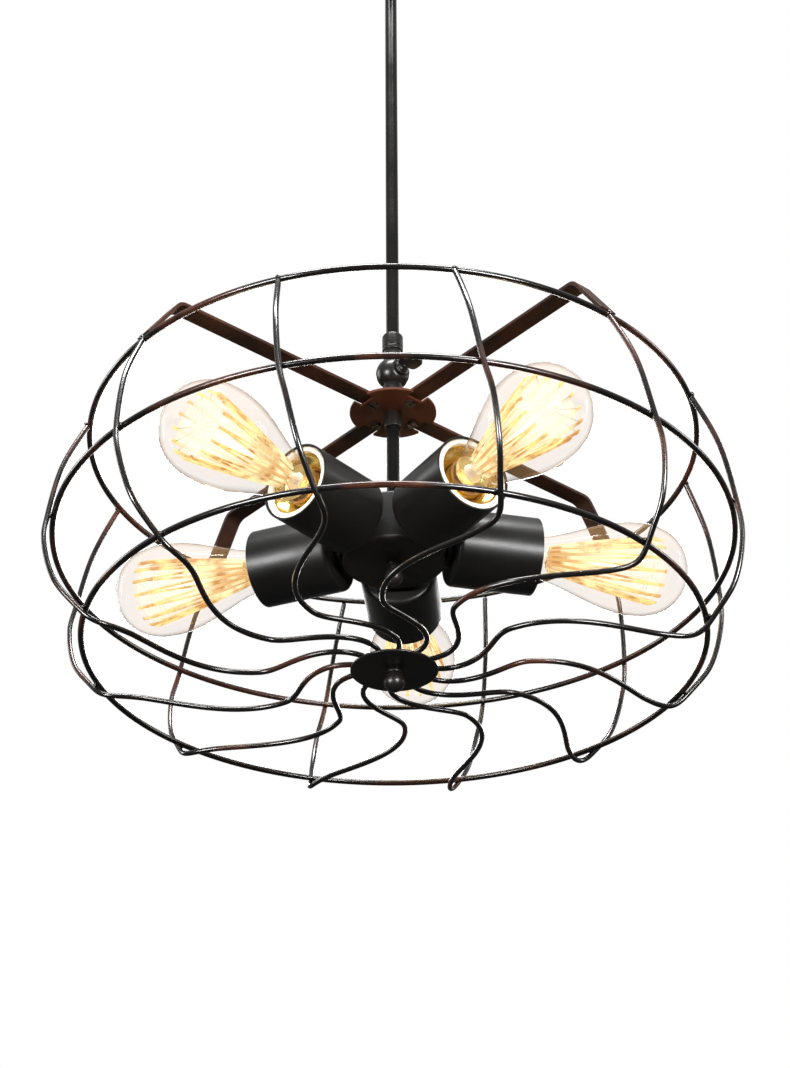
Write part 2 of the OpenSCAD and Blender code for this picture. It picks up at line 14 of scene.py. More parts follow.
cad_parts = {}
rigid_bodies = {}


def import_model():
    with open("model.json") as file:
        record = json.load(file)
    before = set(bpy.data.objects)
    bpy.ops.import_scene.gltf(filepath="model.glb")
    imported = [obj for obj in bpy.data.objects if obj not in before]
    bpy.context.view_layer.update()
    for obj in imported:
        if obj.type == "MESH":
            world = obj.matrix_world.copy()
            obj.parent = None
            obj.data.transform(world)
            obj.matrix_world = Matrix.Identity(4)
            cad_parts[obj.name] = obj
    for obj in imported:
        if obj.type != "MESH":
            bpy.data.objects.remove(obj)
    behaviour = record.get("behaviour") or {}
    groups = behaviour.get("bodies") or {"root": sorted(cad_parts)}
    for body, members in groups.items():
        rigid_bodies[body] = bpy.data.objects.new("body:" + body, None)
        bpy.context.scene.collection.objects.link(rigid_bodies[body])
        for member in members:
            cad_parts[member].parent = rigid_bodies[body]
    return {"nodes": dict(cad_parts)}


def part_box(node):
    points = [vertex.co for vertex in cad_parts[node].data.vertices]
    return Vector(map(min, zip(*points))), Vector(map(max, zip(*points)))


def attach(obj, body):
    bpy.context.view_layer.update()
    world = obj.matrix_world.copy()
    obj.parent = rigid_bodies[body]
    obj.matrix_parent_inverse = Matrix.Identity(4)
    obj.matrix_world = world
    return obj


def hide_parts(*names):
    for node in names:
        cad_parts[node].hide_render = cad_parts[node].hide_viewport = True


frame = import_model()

log = logging.getLogger("caged_pendant")
MM = 0.001
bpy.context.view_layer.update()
Point = tuple[float, float]
Colour = tuple[float, float, float]
Bump = Callable[[float, float, float], float]


# --- node trees ---
class Signal:
    """An output socket that adds Math nodes when it is used in arithmetic."""

    def __init__(self, net: "Net", socket: bpy.types.NodeSocket) -> None:
        """Wraps an output socket of the net."""
        self.net, self.socket = net, socket

    def _math(self, operation: str, a: object, b: object) -> "Signal":
        """Adds one Math node for two values or signals."""
        return self.net.add("ShaderNodeMath", {"operation": operation}, {0: a, 1: b})

    def __add__(self, other: object) -> "Signal":
        """Sum."""
        return self._math("ADD", self, other)

    def __radd__(self, other: object) -> "Signal":
        """Sum, reflected."""
        return self._math("ADD", other, self)

    def __rsub__(self, other: object) -> "Signal":
        """Difference, reflected."""
        return self._math("SUBTRACT", other, self)

    def __mul__(self, other: object) -> "Signal":
        """Product."""
        return self._math("MULTIPLY", self, other)

    def __rmul__(self, other: object) -> "Signal":
        """Product, reflected."""
        return self._math("MULTIPLY", other, self)

    def __pow__(self, other: object) -> "Signal":
        """Power."""
        return self._math("POWER", self, other)

    def ramp(self, low: float, high: float, to_low: float = 0.0, to_high: float = 1.0) -> "Signal":
        """Maps the stretch from low to high onto another, clamped."""
        sockets = {0: self, 1: low, 2: high, 3: to_low, 4: to_high}
        return self.net.add("ShaderNodeMapRange", {"clamp": True}, sockets)


class Net:
    """A node tree under construction."""

    def __init__(self, tree: bpy.types.NodeTree) -> None:
        """Wraps the tree."""
        self.tree = tree

    def add(self, kind: str, settings: dict | None = None, sockets: dict | None = None,
            output: int | str = 0) -> Signal:
        """Adds a node of any type.

        Args:
            kind: The node's type.
            settings: The node's own settings.
            sockets: Values or signals by input name or number.
            output: Which output to return.

        Returns:
            The chosen output.
        """
        node = self.tree.nodes.new(kind)
        for key, value in (settings or {}).items():
            setattr(node, key, value)
        for key, value in (sockets or {}).items():
            self.feed(node.inputs[key], value)
        return Signal(self, node.outputs[output])

    def feed(self, socket: bpy.types.NodeSocket, value: object) -> None:
        """Links a signal to an input, or sets its value.

        Args:
            socket: The input.
            value: A signal or a plain value.
        """
        if isinstance(value, Signal):
            self.tree.links.new(value.socket, socket)
        else:
            socket.default_value = value


class Recipe(Net):
    """A node material under construction around one Principled shader."""

    def __init__(self, name: str) -> None:
        """Starts the material.

        Args:
            name: Name of the material.
        """
        self.material = bpy.data.materials.new(name)
        self.material.use_nodes = True
        super().__init__(self.material.node_tree)
        self.shader = self.tree.nodes["Principled BSDF"]
        self.coords = self.add("ShaderNodeTexCoord", output="Object")

    def noise(self, scale: float, detail: float = 3.0, roughness: float = 0.55) -> Signal:
        """Noise on Object coordinates, from 0 to 1."""
        sockets = {"Vector": self.coords, "Scale": scale, "Detail": detail, "Roughness": roughness}
        return self.add("ShaderNodeTexNoise", None, sockets)

    def facing(self, blend: float) -> Signal:
        """0 where the surface is seen square on, 1 at its rim."""
        return self.add("ShaderNodeLayerWeight", None, {"Blend": blend}, "Facing")

    def reach(self, near: float, far: float) -> Signal:
        """Distance from the light's upright axis: 0 at near, 1 at far, in metres."""
        x, y = (self.add("ShaderNodeSeparateXYZ", None, {0: self.coords}, k) for k in (0, 1))
        return ((x * x + y * y) ** 0.5).ramp(near, far)

    def blend(self, factor: Signal, low: Colour | Signal, high: Colour | Signal) -> Signal:
        """Mixes two colours, from low at 0 to high at 1."""
        ends = [end if isinstance(end, Signal) else (*end, 1.0) for end in (low, high)]
        return self.add("ShaderNodeMix", {"data_type": "RGBA"}, {0: factor, 6: ends[0], 7: ends[1]}, 2)

    def relief(self, height: Signal, strength: float, depth: float) -> Signal:
        """Turns a height signal into a Normal; depth is in metres."""
        return self.add("ShaderNodeBump", None, {"Strength": strength, "Distance": depth, "Height": height})

    def dress(self, **sockets: object) -> bpy.types.Material:
        """Feeds the Principled shader.

        Args:
            **sockets: Values or signals; an underscore in a name stands for a space.

        Returns:
            The finished material.
        """
        for key, value in sockets.items():
            self.feed(self.shader.inputs[key.replace("_", " ")], value)
        return self.material


# --- finishes ---
@dataclass(frozen=True)
class Coat:
    """Black powder coat: fine orange-peel, a second tone in patches, slight sheen changes; on the wire, arms and
    plate the colours carry painted warm light from the bulbs.
    """

    name: str
    base: Colour
    second_tone_and_painted_bulb_light: Colour
    roughness: float
    grain: float = 900.0
    gloss: float = 0.5
    patch: Point = (0.38, 0.68)
    depth: float = 0.08 * MM

    def make(self) -> bpy.types.Material:
        """Builds the material.

        Returns:
            The material.
        """
        r = Recipe(self.name)
        peel, cloud, dust = r.noise(self.grain, 2.0), r.noise(14.0, 4.0), r.noise(180.0, 5.0, 0.7)
        sheen = cloud.ramp(0.3, 0.7, self.roughness - 0.06, self.roughness + 0.08)
        # Second tone in cloud patches: a real tone on most coats, painted warm bulb light on the wire, arms and
        # plate.
        return r.dress(Roughness=sheen + dust.ramp(0.55, 0.8, 0.0, 0.08), Specular_IOR_Level=self.gloss,
                       Base_Color=r.blend(cloud.ramp(*self.patch), self.base, self.second_tone_and_painted_bulb_light),
                       Normal=r.relief(peel, 0.35, self.depth))


@dataclass(frozen=True)
class Metal:
    """Bare or plated metal with faint drawing marks and tarnish."""

    name: str
    base: Colour
    tarnish: Colour
    roughness: float
    grain: float = 1400.0
    depth: float = 0.03 * MM

    def make(self) -> bpy.types.Material:
        """Builds the material.

        Returns:
            The material.
        """
        r = Recipe(self.name)
        cloud, marks = r.noise(40.0, 5.0, 0.65), r.noise(self.grain, 2.0)
        return r.dress(Base_Color=r.blend(cloud.ramp(0.4, 0.75), self.base, self.tarnish), Metallic=1.0,
                       Roughness=cloud.ramp(0.3, 0.8, self.roughness - 0.05, self.roughness + 0.15),
                       Normal=r.relief(marks, 0.25, self.depth))


@dataclass(frozen=True)
class Glaze:
    """Glazed white lamp holder insulator, slightly uneven."""

    name: str
    base: Colour
    shade: Colour

    def make(self) -> bpy.types.Material:
        """Builds the material.

        Returns:
            The material.
        """
        r = Recipe(self.name)
        cloud, pores = r.noise(60.0, 4.0), r.noise(600.0, 3.0)
        return r.dress(Base_Color=r.blend(cloud.ramp(0.35, 0.7), self.base, self.shade), Coat_Weight=0.5,
                       Roughness=cloud.ramp(0.3, 0.7, 0.18, 0.34), Normal=r.relief(pores, 0.15, 0.06 * MM))


@dataclass(frozen=True)
class BulbGlass:
    """Thin blown glass with an amber tint that deepens at the rim."""

    name: str
    tint: Colour
    rim: Colour
    clear: float = 0.12
    edge: float = 0.74

    def make(self) -> bpy.types.Material:
        """Builds the material.

        Returns:
            The material.
        """
        r = Recipe(self.name)
        facing, waves = r.facing(0.35), r.noise(35.0, 2.0)
        rim = (facing ** 1.8) * (0.75 + waves * 0.5)
        return r.dress(Base_Color=r.blend(rim.ramp(0.22, 0.62), self.tint, self.rim), Roughness=0.03, IOR=1.45,
                       Alpha=rim.ramp(0.26, 0.72, self.clear, self.edge), Normal=r.relief(waves, 0.08, 0.6 * MM))


@dataclass(frozen=True)
class ClearGlass:
    """Plain glass of the post inside a bulb."""

    name: str
    tint: Colour
    shade: Colour
    clear: float = 0.25

    def make(self) -> bpy.types.Material:
        """Builds the material.

        Returns:
            The material.
        """
        r = Recipe(self.name)
        facing, seeds = r.facing(0.4), r.noise(500.0, 3.0)
        return r.dress(Base_Color=r.blend(seeds.ramp(0.4, 0.7), self.tint, self.shade), Roughness=0.05,
                       Alpha=facing.ramp(0.0, 0.9, self.clear, 0.8), Normal=r.relief(seeds, 0.1, 0.1 * MM))


@dataclass(frozen=True)
class Glow:
    """A hot filament: brighter and deeper stretches along each strand."""

    name: str
    hot: Colour
    gold: Colour
    dull: Colour
    near: float = 0.120
    far: float = 0.165
    strength: float = 1.2
    ash: Colour = (0.02, 0.015, 0.01)

    def make(self) -> bpy.types.Material:
        """Builds the material.

        Returns:
            The material.
        """
        r = Recipe(self.name)
        along = r.noise(70.0, 3.0)
        dim, lit = along.ramp(0.36, 0.56), r.blend(r.reach(self.near, self.far), self.hot, self.gold)
        return r.dress(Base_Color=(*self.ash, 1.0), Emission_Strength=self.strength,
                       Emission_Color=r.blend(dim, self.dull, lit),
                       Roughness=along.ramp(0.3, 0.7, 0.4, 0.6))


@dataclass(frozen=True)
class Bloom:
    """Light that the strands throw about them: dense in the middle, gone at the edge."""

    name: str
    core: Colour
    edge: Colour
    neck: Colour
    near: float = 0.122
    far: float = 0.165
    dense: float = 0.78
    thin: float = 0.26
    strength: float = 1.12
    ash: Colour = (0.02, 0.02, 0.02)

    def make(self) -> bpy.types.Material:
        """Builds the material.

        Returns:
            The material.
        """
        r = Recipe(self.name)
        facing, patches = r.facing(0.5), r.noise(45.0, 3.0)
        centre, out = (1.0 - facing) ** 1.3, r.reach(self.near, self.far)
        heat = (centre * out * (0.6 + patches * 0.9)).ramp(0.10, 0.62)
        return r.dress(Base_Color=(*self.ash, 1.0), Emission_Strength=self.strength,
                       Emission_Color=r.blend(heat, r.blend(out, self.neck, self.edge), self.core),
                       Roughness=patches.ramp(0.3, 0.7, 0.8, 1.0),
                       Alpha=centre.ramp(0.05, 0.6) * (self.dense - out * self.thin))


@dataclass(frozen=True)
class FloorPaint:
    """Matt pale floor paint that stays pale under a soft light."""

    name: str
    base: Colour
    worn: Colour
    lift: float = 0.72

    def make(self) -> bpy.types.Material:
        """Builds the material.

        Returns:
            The material.
        """
        r = Recipe(self.name)
        scuffs, dust = r.noise(1.5, 5.0), r.noise(60.0, 3.0)
        colour = r.blend(scuffs.ramp(0.4, 0.7), self.base, self.worn)
        return r.dress(Base_Color=colour, Roughness=scuffs.ramp(0.3, 0.7, 0.6, 0.8), Emission_Color=colour,
                       Emission_Strength=self.lift, Normal=r.relief(dust, 0.1, 0.4 * MM))


class Finish(Enum):
    """The finishes of this light."""

    CUP = Coat("cup_black", (0.0040, 0.0037, 0.0035), (0.0060, 0.0050, 0.0045), 0.36, gloss=0.30)
    TURNED = Coat("turned_black", (0.0050, 0.0042, 0.0040), (0.010, 0.007, 0.0055), 0.31, gloss=0.40)
    ROD = Coat("rod_black", (0.0040, 0.0038, 0.0036), (0.0060, 0.0052, 0.0048), 0.22, gloss=0.20)
    # Wire: the copper-red second tone in scattered patches is painted warm light from the bulbs; the wire itself is
    # black.
    WIRE = Coat("wire_black", (0.0042, 0.0032, 0.0029), (0.066, 0.019, 0.008), 0.20, 700.0, 0.62, (0.52, 0.72))
    # Arms: the brown base and red-brown patches are painted warm light from the bulbs on their undersides; the coat
    # itself is black.
    ARM = Coat("arm_black", (0.010, 0.0050, 0.0036), (0.052, 0.017, 0.0075), 0.50, gloss=0.15)
    # Hub plate: its brown-red colour is painted warm light from the bulbs on its underside; the coat itself is black.
    PLATE = Coat("plate_black", (0.036, 0.011, 0.0045), (0.075, 0.019, 0.007), 0.50, gloss=0.15)
    SCREW_BLACK = Coat("screw_blackened", (0.006, 0.004, 0.0035), (0.012, 0.007, 0.005), 0.34, gloss=0.25)
    ZINC = Metal("zinc_plate", (0.62, 0.62, 0.63), (0.42, 0.42, 0.44), 0.35)
    BRASS = Metal("shell_brass", (1.0, 0.80, 0.32), (0.88, 0.62, 0.18), 0.20, 320.0, 0.5 * MM)
    CAP = Metal("cap_brass", (0.88, 0.70, 0.38), (0.60, 0.42, 0.20), 0.28)
    NICKEL = Metal("support_nickel", (0.70, 0.62, 0.50), (0.40, 0.30, 0.20), 0.30)
    FOIL = Metal("disc_foil", (1.0, 0.80, 0.34), (0.86, 0.60, 0.20), 0.24, 260.0, 1.2 * MM)
    LINER = Glaze("liner_white", (0.93, 0.92, 0.88), (0.84, 0.81, 0.74))
    BULB = BulbGlass("bulb_amber", (0.46, 0.30, 0.15), (0.13, 0.080, 0.045))
    POST = ClearGlass("post_glass", (1.0, 0.96, 0.90), (1.0, 0.93, 0.80))
    FILAMENT = Glow("filament_glow", (1.0, 0.88, 0.48), (1.0, 0.74, 0.26), (0.55, 0.23, 0.045))
    BLOOM = Bloom("filament_bloom", (1.0, 0.97, 0.80), (1.0, 0.78, 0.38), (0.74, 0.40, 0.12))
    FLOOR = FloorPaint("studio_floor_paint", (0.90, 0.90, 0.89), (0.87, 0.87, 0.86))

    def material(self) -> bpy.types.Material:
        """Makes the finish's material once, then returns it."""
        return bpy.data.materials.get(self.value.name) or self.value.make()


# --- curves and profiles ---
def outward(azimuth: float, height: float) -> Matrix:
    """Turns +Z to point away from the axis, at an azimuth from the front toward +X, and lifts it."""
    return (Matrix.Translation((0, 0, height)) @ Matrix.Rotation(math.radians(azimuth - 90), 4, "Z")
            @ Matrix.Rotation(math.radians(90), 4, "Y"))


def polar(radius: float, azimuth: float, height: float) -> Vector:
    """Point at an azimuth in degrees from the front toward +X."""
    return Vector((radius * math.sin(math.radians(azimuth)), -radius * math.cos(math.radians(azimuth)), height))


def ease(t: float) -> float:
    """Half a cosine wave from 0 to 1."""
    return (1 - math.cos(math.pi * t)) / 2


def mix(a: float, b: float, t: float) -> float:
    """Straight mix of two numbers."""
    return a + (b - a) * t


def rounded(profile: Sequence[Point], radius: float, steps: int = 3) -> list[Point]:
    """Rounds the corners of an open profile.

    Args:
        profile: Radius and height of each corner.
        radius: Largest corner radius.
        steps: Points per corner, less one.

    Returns:
        The longer profile.
    """
    share = 0.45
    points = [Vector(p) for p in profile]
    out = [tuple(points[0])]
    for before, here, after in zip(points, points[1:], points[2:]):
        a, b = before - here, after - here
        reach = min(radius, a.length * share, b.length * share)
        start, end = here + a.normalized() * reach, here + b.normalized() * reach
        for k in range(steps + 1):
            t = k / steps
            out.append(tuple((start * (1 - t) + here * t) * (1 - t) + (here * (1 - t) + end * t) * t))
    return [*out, tuple(points[-1])]


def sleeve(inner: float, outer: float, low: float, high: float, soft: float) -> list[Point]:
    """Closed profile of a sleeve with rounded edges.

    Args:
        inner: Inner radius.
        outer: Outer radius.
        low: Lower end.
        high: Upper end.
        soft: Radius of the edges.

    Returns:
        The profile, for a closed turned shape.
    """
    middle = (low + high) / 2
    return rounded([(inner, middle), (inner, low), (outer, low), (outer, high), (inner, high), (inner, middle)],
                   soft)[:-1]


def ball_cap(radius: float, centre: float, first: float, last: float, steps: int = 12) -> list[Point]:
    """Profile of part of a ball.

    Args:
        radius: Radius of the ball.
        centre: Height of its centre.
        first: First latitude in degrees, 90 at the top.
        last: Last latitude.
        steps: Points, less one.

    Returns:
        The profile; a pole lies exactly on the axis.
    """
    turns = [math.radians(mix(first, last, k / steps)) for k in range(steps + 1)]
    return [(0.0 if abs(math.cos(a)) < 1e-6 else radius * math.cos(a), centre + radius * math.sin(a)) for a in turns]


def hung_ball(top: float, low: float, size: float) -> list[Point]:
    """Profile of a ball on a turned neck.

    Args:
        top: Height of the face that it hangs from.
        low: Lowest point of the ball.
        size: Diameter of the ball.

    Returns:
        The profile, from axis to axis.
    """
    collar, neck, centre = size * 0.4, size * 0.24, low + size / 2
    meets = math.degrees(math.acos(neck / (size / 2)))
    turned = rounded([(0, top), (collar, top), (collar, top - 1.3 * MM), (neck, top - 1.9 * MM),
                      (neck, centre + size / 2 * math.sin(math.radians(meets)))], 0.3 * MM)
    return turned + ball_cap(size / 2, centre, meets, -90)[1:]


def hexagon(corner: float) -> list[Point]:
    """Outline of a nut, from its corner radius."""
    return [(corner * math.cos(math.tau * k / 6), corner * math.sin(math.tau * k / 6)) for k in range(6)]


def even(path: Sequence[Vector], step: float) -> list[Vector]:
    """Respaces a path.

    Args:
        path: Points of the path.
        step: Wanted distance between points.

    Returns:
        Evenly spaced points, with the same ends.
    """
    lengths = [0.0]
    for a, b in zip(path, path[1:]):
        lengths.append(lengths[-1] + (b - a).length)
    count, k, out = max(2, round(lengths[-1] / step)), 0, []
    for j in range(count + 1):
        goal = lengths[-1] * j / count
        while k < len(path) - 2 and lengths[k + 1] < goal:
            k += 1
        out.append(path[k].lerp(path[k + 1], (goal - lengths[k]) / max(1e-9, lengths[k + 1] - lengths[k])))
    return out


# --- shapes and pieces ---
@dataclass
class Turned:
    """A profile of radius and height turned about Z; a radius of 0 is one point."""

    profile: Sequence[Point]
    steps: int = 64
    closed: bool = False
    place: Matrix | None = None
    bump: Bump | None = None

    def add(self, bm: bmesh.types.BMesh) -> None:
        """Adds the shape, with bump(radius, angle, height) added to a point's radius.

        Args:
            bm: The mesh to add to.
        """
        place, rings = self.place or Matrix.Identity(4), []
        for radius, height in self.profile:
            ring = []
            for k in range(1 if radius < 1e-7 else self.steps):
                angle = math.tau * k / self.steps
                r = radius + (self.bump(radius, angle, height) if self.bump and radius > 1e-7 else 0.0)
                ring.append(bm.verts.new(place @ Vector((r * math.cos(angle), r * math.sin(angle), height))))
            rings.append(ring)
        for low, high in list(zip(rings, rings[1:])) + ([(rings[-1], rings[0])] if self.closed else []):
            for k in range(self.steps):
                j = (k + 1) % self.steps
                quad = [low[k % len(low)], low[j % len(low)], high[j % len(high)], high[k % len(high)]]
                kept = [v for n, v in enumerate(quad) if v not in quad[:n]]
                if len(kept) > 2:
                    bm.faces.new(kept)


@dataclass
class Cut:
    """A flat outline, anticlockwise, given thickness from a low to a high face."""

    outline: Sequence[Point]
    low: float
    high: float
    place: Matrix | None = None

    def add(self, bm: bmesh.types.BMesh) -> None:
        """Adds the shape.

        Args:
            bm: The mesh to add to.
        """
        place = self.place or Matrix.Identity(4)
        floor, roof = ([bm.verts.new(place @ Vector((x, y, z))) for x, y in self.outline]
                       for z in (self.low, self.high))
        bm.faces.new(roof)
        bm.faces.new(floor[::-1])
        for k in range(len(floor)):
            j = (k + 1) % len(floor)
            bm.faces.new((floor[k], floor[j], roof[j], roof[k]))


def settle(name: str, shapes: Iterable[Turned | Cut], smooth: float = 35.0) -> bpy.types.Mesh:
    """Makes a closed mesh of shapes, faces outward, with its sharp edges marked.

    Args:
        name: Name of the mesh.
        shapes: What it is made of.
        smooth: Edges sharper than this many degrees stay sharp.

    Returns:
        The mesh.
    """
    bm = bmesh.new()
    for shape in shapes:
        shape.add(bm)
    bmesh.ops.remove_doubles(bm, verts=bm.verts, dist=1e-7)
    bmesh.ops.recalc_face_normals(bm, faces=bm.faces)
    for face in bm.faces:
        face.smooth = True
    for edge in bm.edges:
        edge.smooth = len(edge.link_faces) == 2 and edge.calc_face_angle(0.0) < math.radians(smooth)
    mesh = bpy.data.meshes.new(name)
    bm.to_mesh(mesh)
    bm.free()
    return mesh


def linked(name: str, data: bpy.types.ID) -> bpy.types.Object:
    """Puts data in the scene as an object at the origin.

    Args:
        name: Name of the object.
        data: Its mesh, lamp or camera.

    Returns:
        The object.
    """
    made = bpy.data.objects.new(name, data)
    bpy.context.scene.collection.objects.link(made)
    return made


# --- geometry trees ---
class Grove(Net):
    """A geometry node tree with named inputs."""

    def __init__(self, name: str, **sizes: tuple[str, object]) -> None:
        """Starts the tree.

        Args:
            name: Name of the tree.
            **sizes: Type and default value of further inputs; an underscore stands for a space.
        """
        super().__init__(bpy.data.node_groups.new(name, "GeometryNodeTree"))
        face = self.tree.interface
        for way in ("INPUT", "OUTPUT"):
            face.new_socket("Geometry", in_out=way, socket_type="NodeSocketGeometry")
        self.ids: dict[str, str] = {}
        inputs = {"Count": ("Int", 12), "First": ("Float", 0.0), **sizes, "Material": ("Material", None)}
        for label, (kind, value) in inputs.items():
            socket = face.new_socket(label.replace("_", " "), in_out="INPUT", socket_type="NodeSocket" + kind)
            if value is not None:
                socket.default_value = value
            self.ids[label] = socket.identifier
        start = self.tree.nodes.new("NodeGroupInput")
        self.inputs = {socket.name: Signal(self, socket) for socket in start.outputs}
        self.end = self.tree.nodes.new("NodeGroupOutput")

    def around(self, shape: Signal) -> Signal:
        """Repeats a shape about the axis, Count times from the First azimuth.

        Args:
            shape: The geometry to repeat.

        Returns:
            The copies as instances.
        """
        count = self.inputs["Count"]
        points = self.add("GeometryNodePoints", None, {"Count": count})
        index = self.add("GeometryNodeInputIndex")
        step = self.add("ShaderNodeMath", {"operation": "DIVIDE"}, {0: math.tau, 1: count})
        turn = self.add("ShaderNodeMath", {"operation": "MULTIPLY_ADD"}, {0: index, 1: step, 2: self.inputs["First"]})
        spin = self.add("ShaderNodeCombineXYZ", None, {"Z": turn})
        return self.add("GeometryNodeInstanceOnPoints", None, {"Points": points, "Instance": shape, "Rotation": spin})

    def close(self, shape: Signal) -> "Grove":
        """Realizes the instances, sets the material and ends the tree.

        Args:
            shape: The last geometry.

        Returns:
            The tree.
        """
        real = self.add("GeometryNodeRealizeInstances", None, {0: shape})
        smooth = self.add("GeometryNodeSetShadeSmooth", None, {"Geometry": real})
        paint = self.add("GeometryNodeSetMaterial", None, {"Geometry": smooth, "Material": self.inputs["Material"]})
        self.feed(self.end.inputs[0], paint)
        return self

    def grow(self, name: str, seed: bpy.types.Mesh, **values: object) -> bpy.types.Object:
        """Runs the tree on a mesh and keeps the result as a plain mesh.

        Args:
            name: Name of the piece.
            seed: The mesh that the tree works on, removed here.
            **values: The inputs; an underscore in a name stands for a space.

        Returns:
            The finished object.
        """
        host = linked(name + "_seed", seed)
        modifier = host.modifiers.new("grow", "NODES")
        modifier.node_group = self.tree
        for label, value in values.items():
            modifier[self.ids[label]] = value
        mesh = bpy.data.meshes.new_from_object(host.evaluated_get(bpy.context.evaluated_depsgraph_get()))
        mesh.name = name
        bpy.data.objects.remove(host)
        bpy.data.meshes.remove(seed)
        return linked(name, mesh)


def line_mesh(name: str, points: Sequence[Iterable[float]], joined: bool = True) -> bpy.types.Mesh:
    """Makes a mesh of points.

    Args:
        name: Name of the mesh.
        points: The points.
        joined: Whether edges join them in order.

    Returns:
        The mesh.
    """
    mesh = bpy.data.meshes.new(name)
    edges = [(k, k + 1) for k in range(len(points) - 1)] if joined else []
    mesh.from_pydata([tuple(p) for p in points], edges, [])
    return mesh


@cache
def wire_tree() -> Grove:
    """Tree that repeats a run of wire about the axis and gives it a round section.

    Returns:
        The tree.
    """
    tree = Grove("wire_runs", Wire_radius=("Float", 0.002), Sides=("Int", 12))
    run = tree.add("GeometryNodeMeshToCurve", None, {0: tree.inputs["Geometry"]})
    ring = tree.add("GeometryNodeCurvePrimitiveCircle", {"mode": "RADIUS"},
                    {"Resolution": tree.inputs["Sides"], "Radius": tree.inputs["Wire radius"]})
    wire = tree.add("GeometryNodeCurveToMesh", None, {"Curve": run, "Profile Curve": ring, "Fill Caps": True})
    return tree.close(tree.around(wire))


@cache
def weld_tree() -> Grove:
    """Tree that sets an uneven weld bead on each point, repeated about the axis.

    Returns:
        The tree.
    """
    tree = Grove("weld_beads", Bead_radius=("Float", 0.003), Seed=("Int", 7))
    spots = tree.add("GeometryNodeRealizeInstances", None, {0: tree.around(tree.inputs["Geometry"])})
    bead = tree.add("GeometryNodeMeshIcoSphere", None, {"Radius": tree.inputs["Bead radius"], "Subdivisions": 2})
    size, turn = (tree.add("FunctionNodeRandomValue", {"data_type": "FLOAT_VECTOR"},
                           {0: least, 1: most, "Seed": tree.inputs["Seed"]})
                  for least, most in (((0.75, 0.75, 0.55), (1.15, 1.1, 0.9)), ((0.0, 0.0, 0.0), (0.7, 0.7, 3.0))))
    return tree.close(tree.add("GeometryNodeInstanceOnPoints", None,
                               {"Points": spots, "Instance": bead, "Rotation": turn, "Scale": size}))


@cache
def repeat_tree() -> Grove:
    """Tree that repeats a finished shape about the axis, such as a screw or a boss.

    Returns:
        The tree.
    """
    tree = Grove("repeat_round")
    return tree.close(tree.around(tree.inputs["Geometry"]))


# --- pieces ---
@dataclass(frozen=True)
class Piece:
    """A piece to be made: the body that it moves with, a material slot name, which is not used, and the CAD nodes it
    stands for.
    """

    name: str
    finish: Finish
    body: str
    slot: str
    nodes: Sequence[str] = ()

    def _declare(self, piece: bpy.types.Object) -> None:
        """Args:
            piece: The piece.
        """
        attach(piece, self.body)
        for node in self.nodes:
            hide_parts(node)
        log.info("%s on %s", piece.name, self.body)

    def make(self, *shapes: Turned | Cut, smooth: float = 35.0, bevel: float = 0.0) -> None:
        """Makes the piece of turned and cut shapes.

        Args:
            *shapes: What it is made of.
            smooth: Edges sharper than this many degrees stay sharp.
            bevel: Width of a bevel on sharp edges, in metres.
        """
        piece = linked(self.name, settle(self.name, shapes, smooth))
        piece.data.materials.append(self.finish.material())
        if bevel:
            edge = piece.modifiers.new("edge", "BEVEL")
            edge.width, edge.segments, edge.limit_method, edge.angle_limit = bevel, 2, "ANGLE", math.radians(35)
            edge.harden_normals = True
        self._declare(piece)

    def grow(self, tree: Grove, seed: bpy.types.Mesh, place: Matrix | None = None, **values: object) -> None:
        """Makes the piece with a geometry tree.

        Args:
            tree: The tree.
            seed: The mesh that it works on.
            place: Where the result goes.
            **values: The tree's inputs, apart from the material.
        """
        piece = tree.grow(self.name, seed, Material=self.finish.material(), **values)
        if place:
            piece.data.transform(place)
        self._declare(piece)

    def repeat(self, count: int, first: float, *shapes: Turned | Cut) -> None:
        """Repeats shapes, made toward +X, about the axis from a first azimuth in degrees."""
        self.grow(repeat_tree(), settle(self.name + "_one", shapes), Count=count, First=math.radians(first - 90))


# --- the room ---
@dataclass
class Softbox:
    """One rectangular softbox turned toward the light's middle."""

    azimuth: float
    rise: float
    distance: float
    width: float
    height: float
    power: float

    def build(self, name: str, target: Vector) -> None:
        """Places the softbox.

        Args:
            name: Name of the lamp object.
            target: The point that it faces.
        """
        data = bpy.data.lights.new(name, "AREA")
        data.shape, data.size, data.size_y, data.energy = "RECTANGLE", self.width, self.height, self.power
        rise = math.radians(self.rise)
        back = polar(math.cos(rise), self.azimuth, math.sin(rise))
        box = linked(name, data)
        box.location = target + back * self.distance
        box.rotation_euler = (-back).to_track_quat("-Z", "Y").to_euler()
        box.visible_camera = False


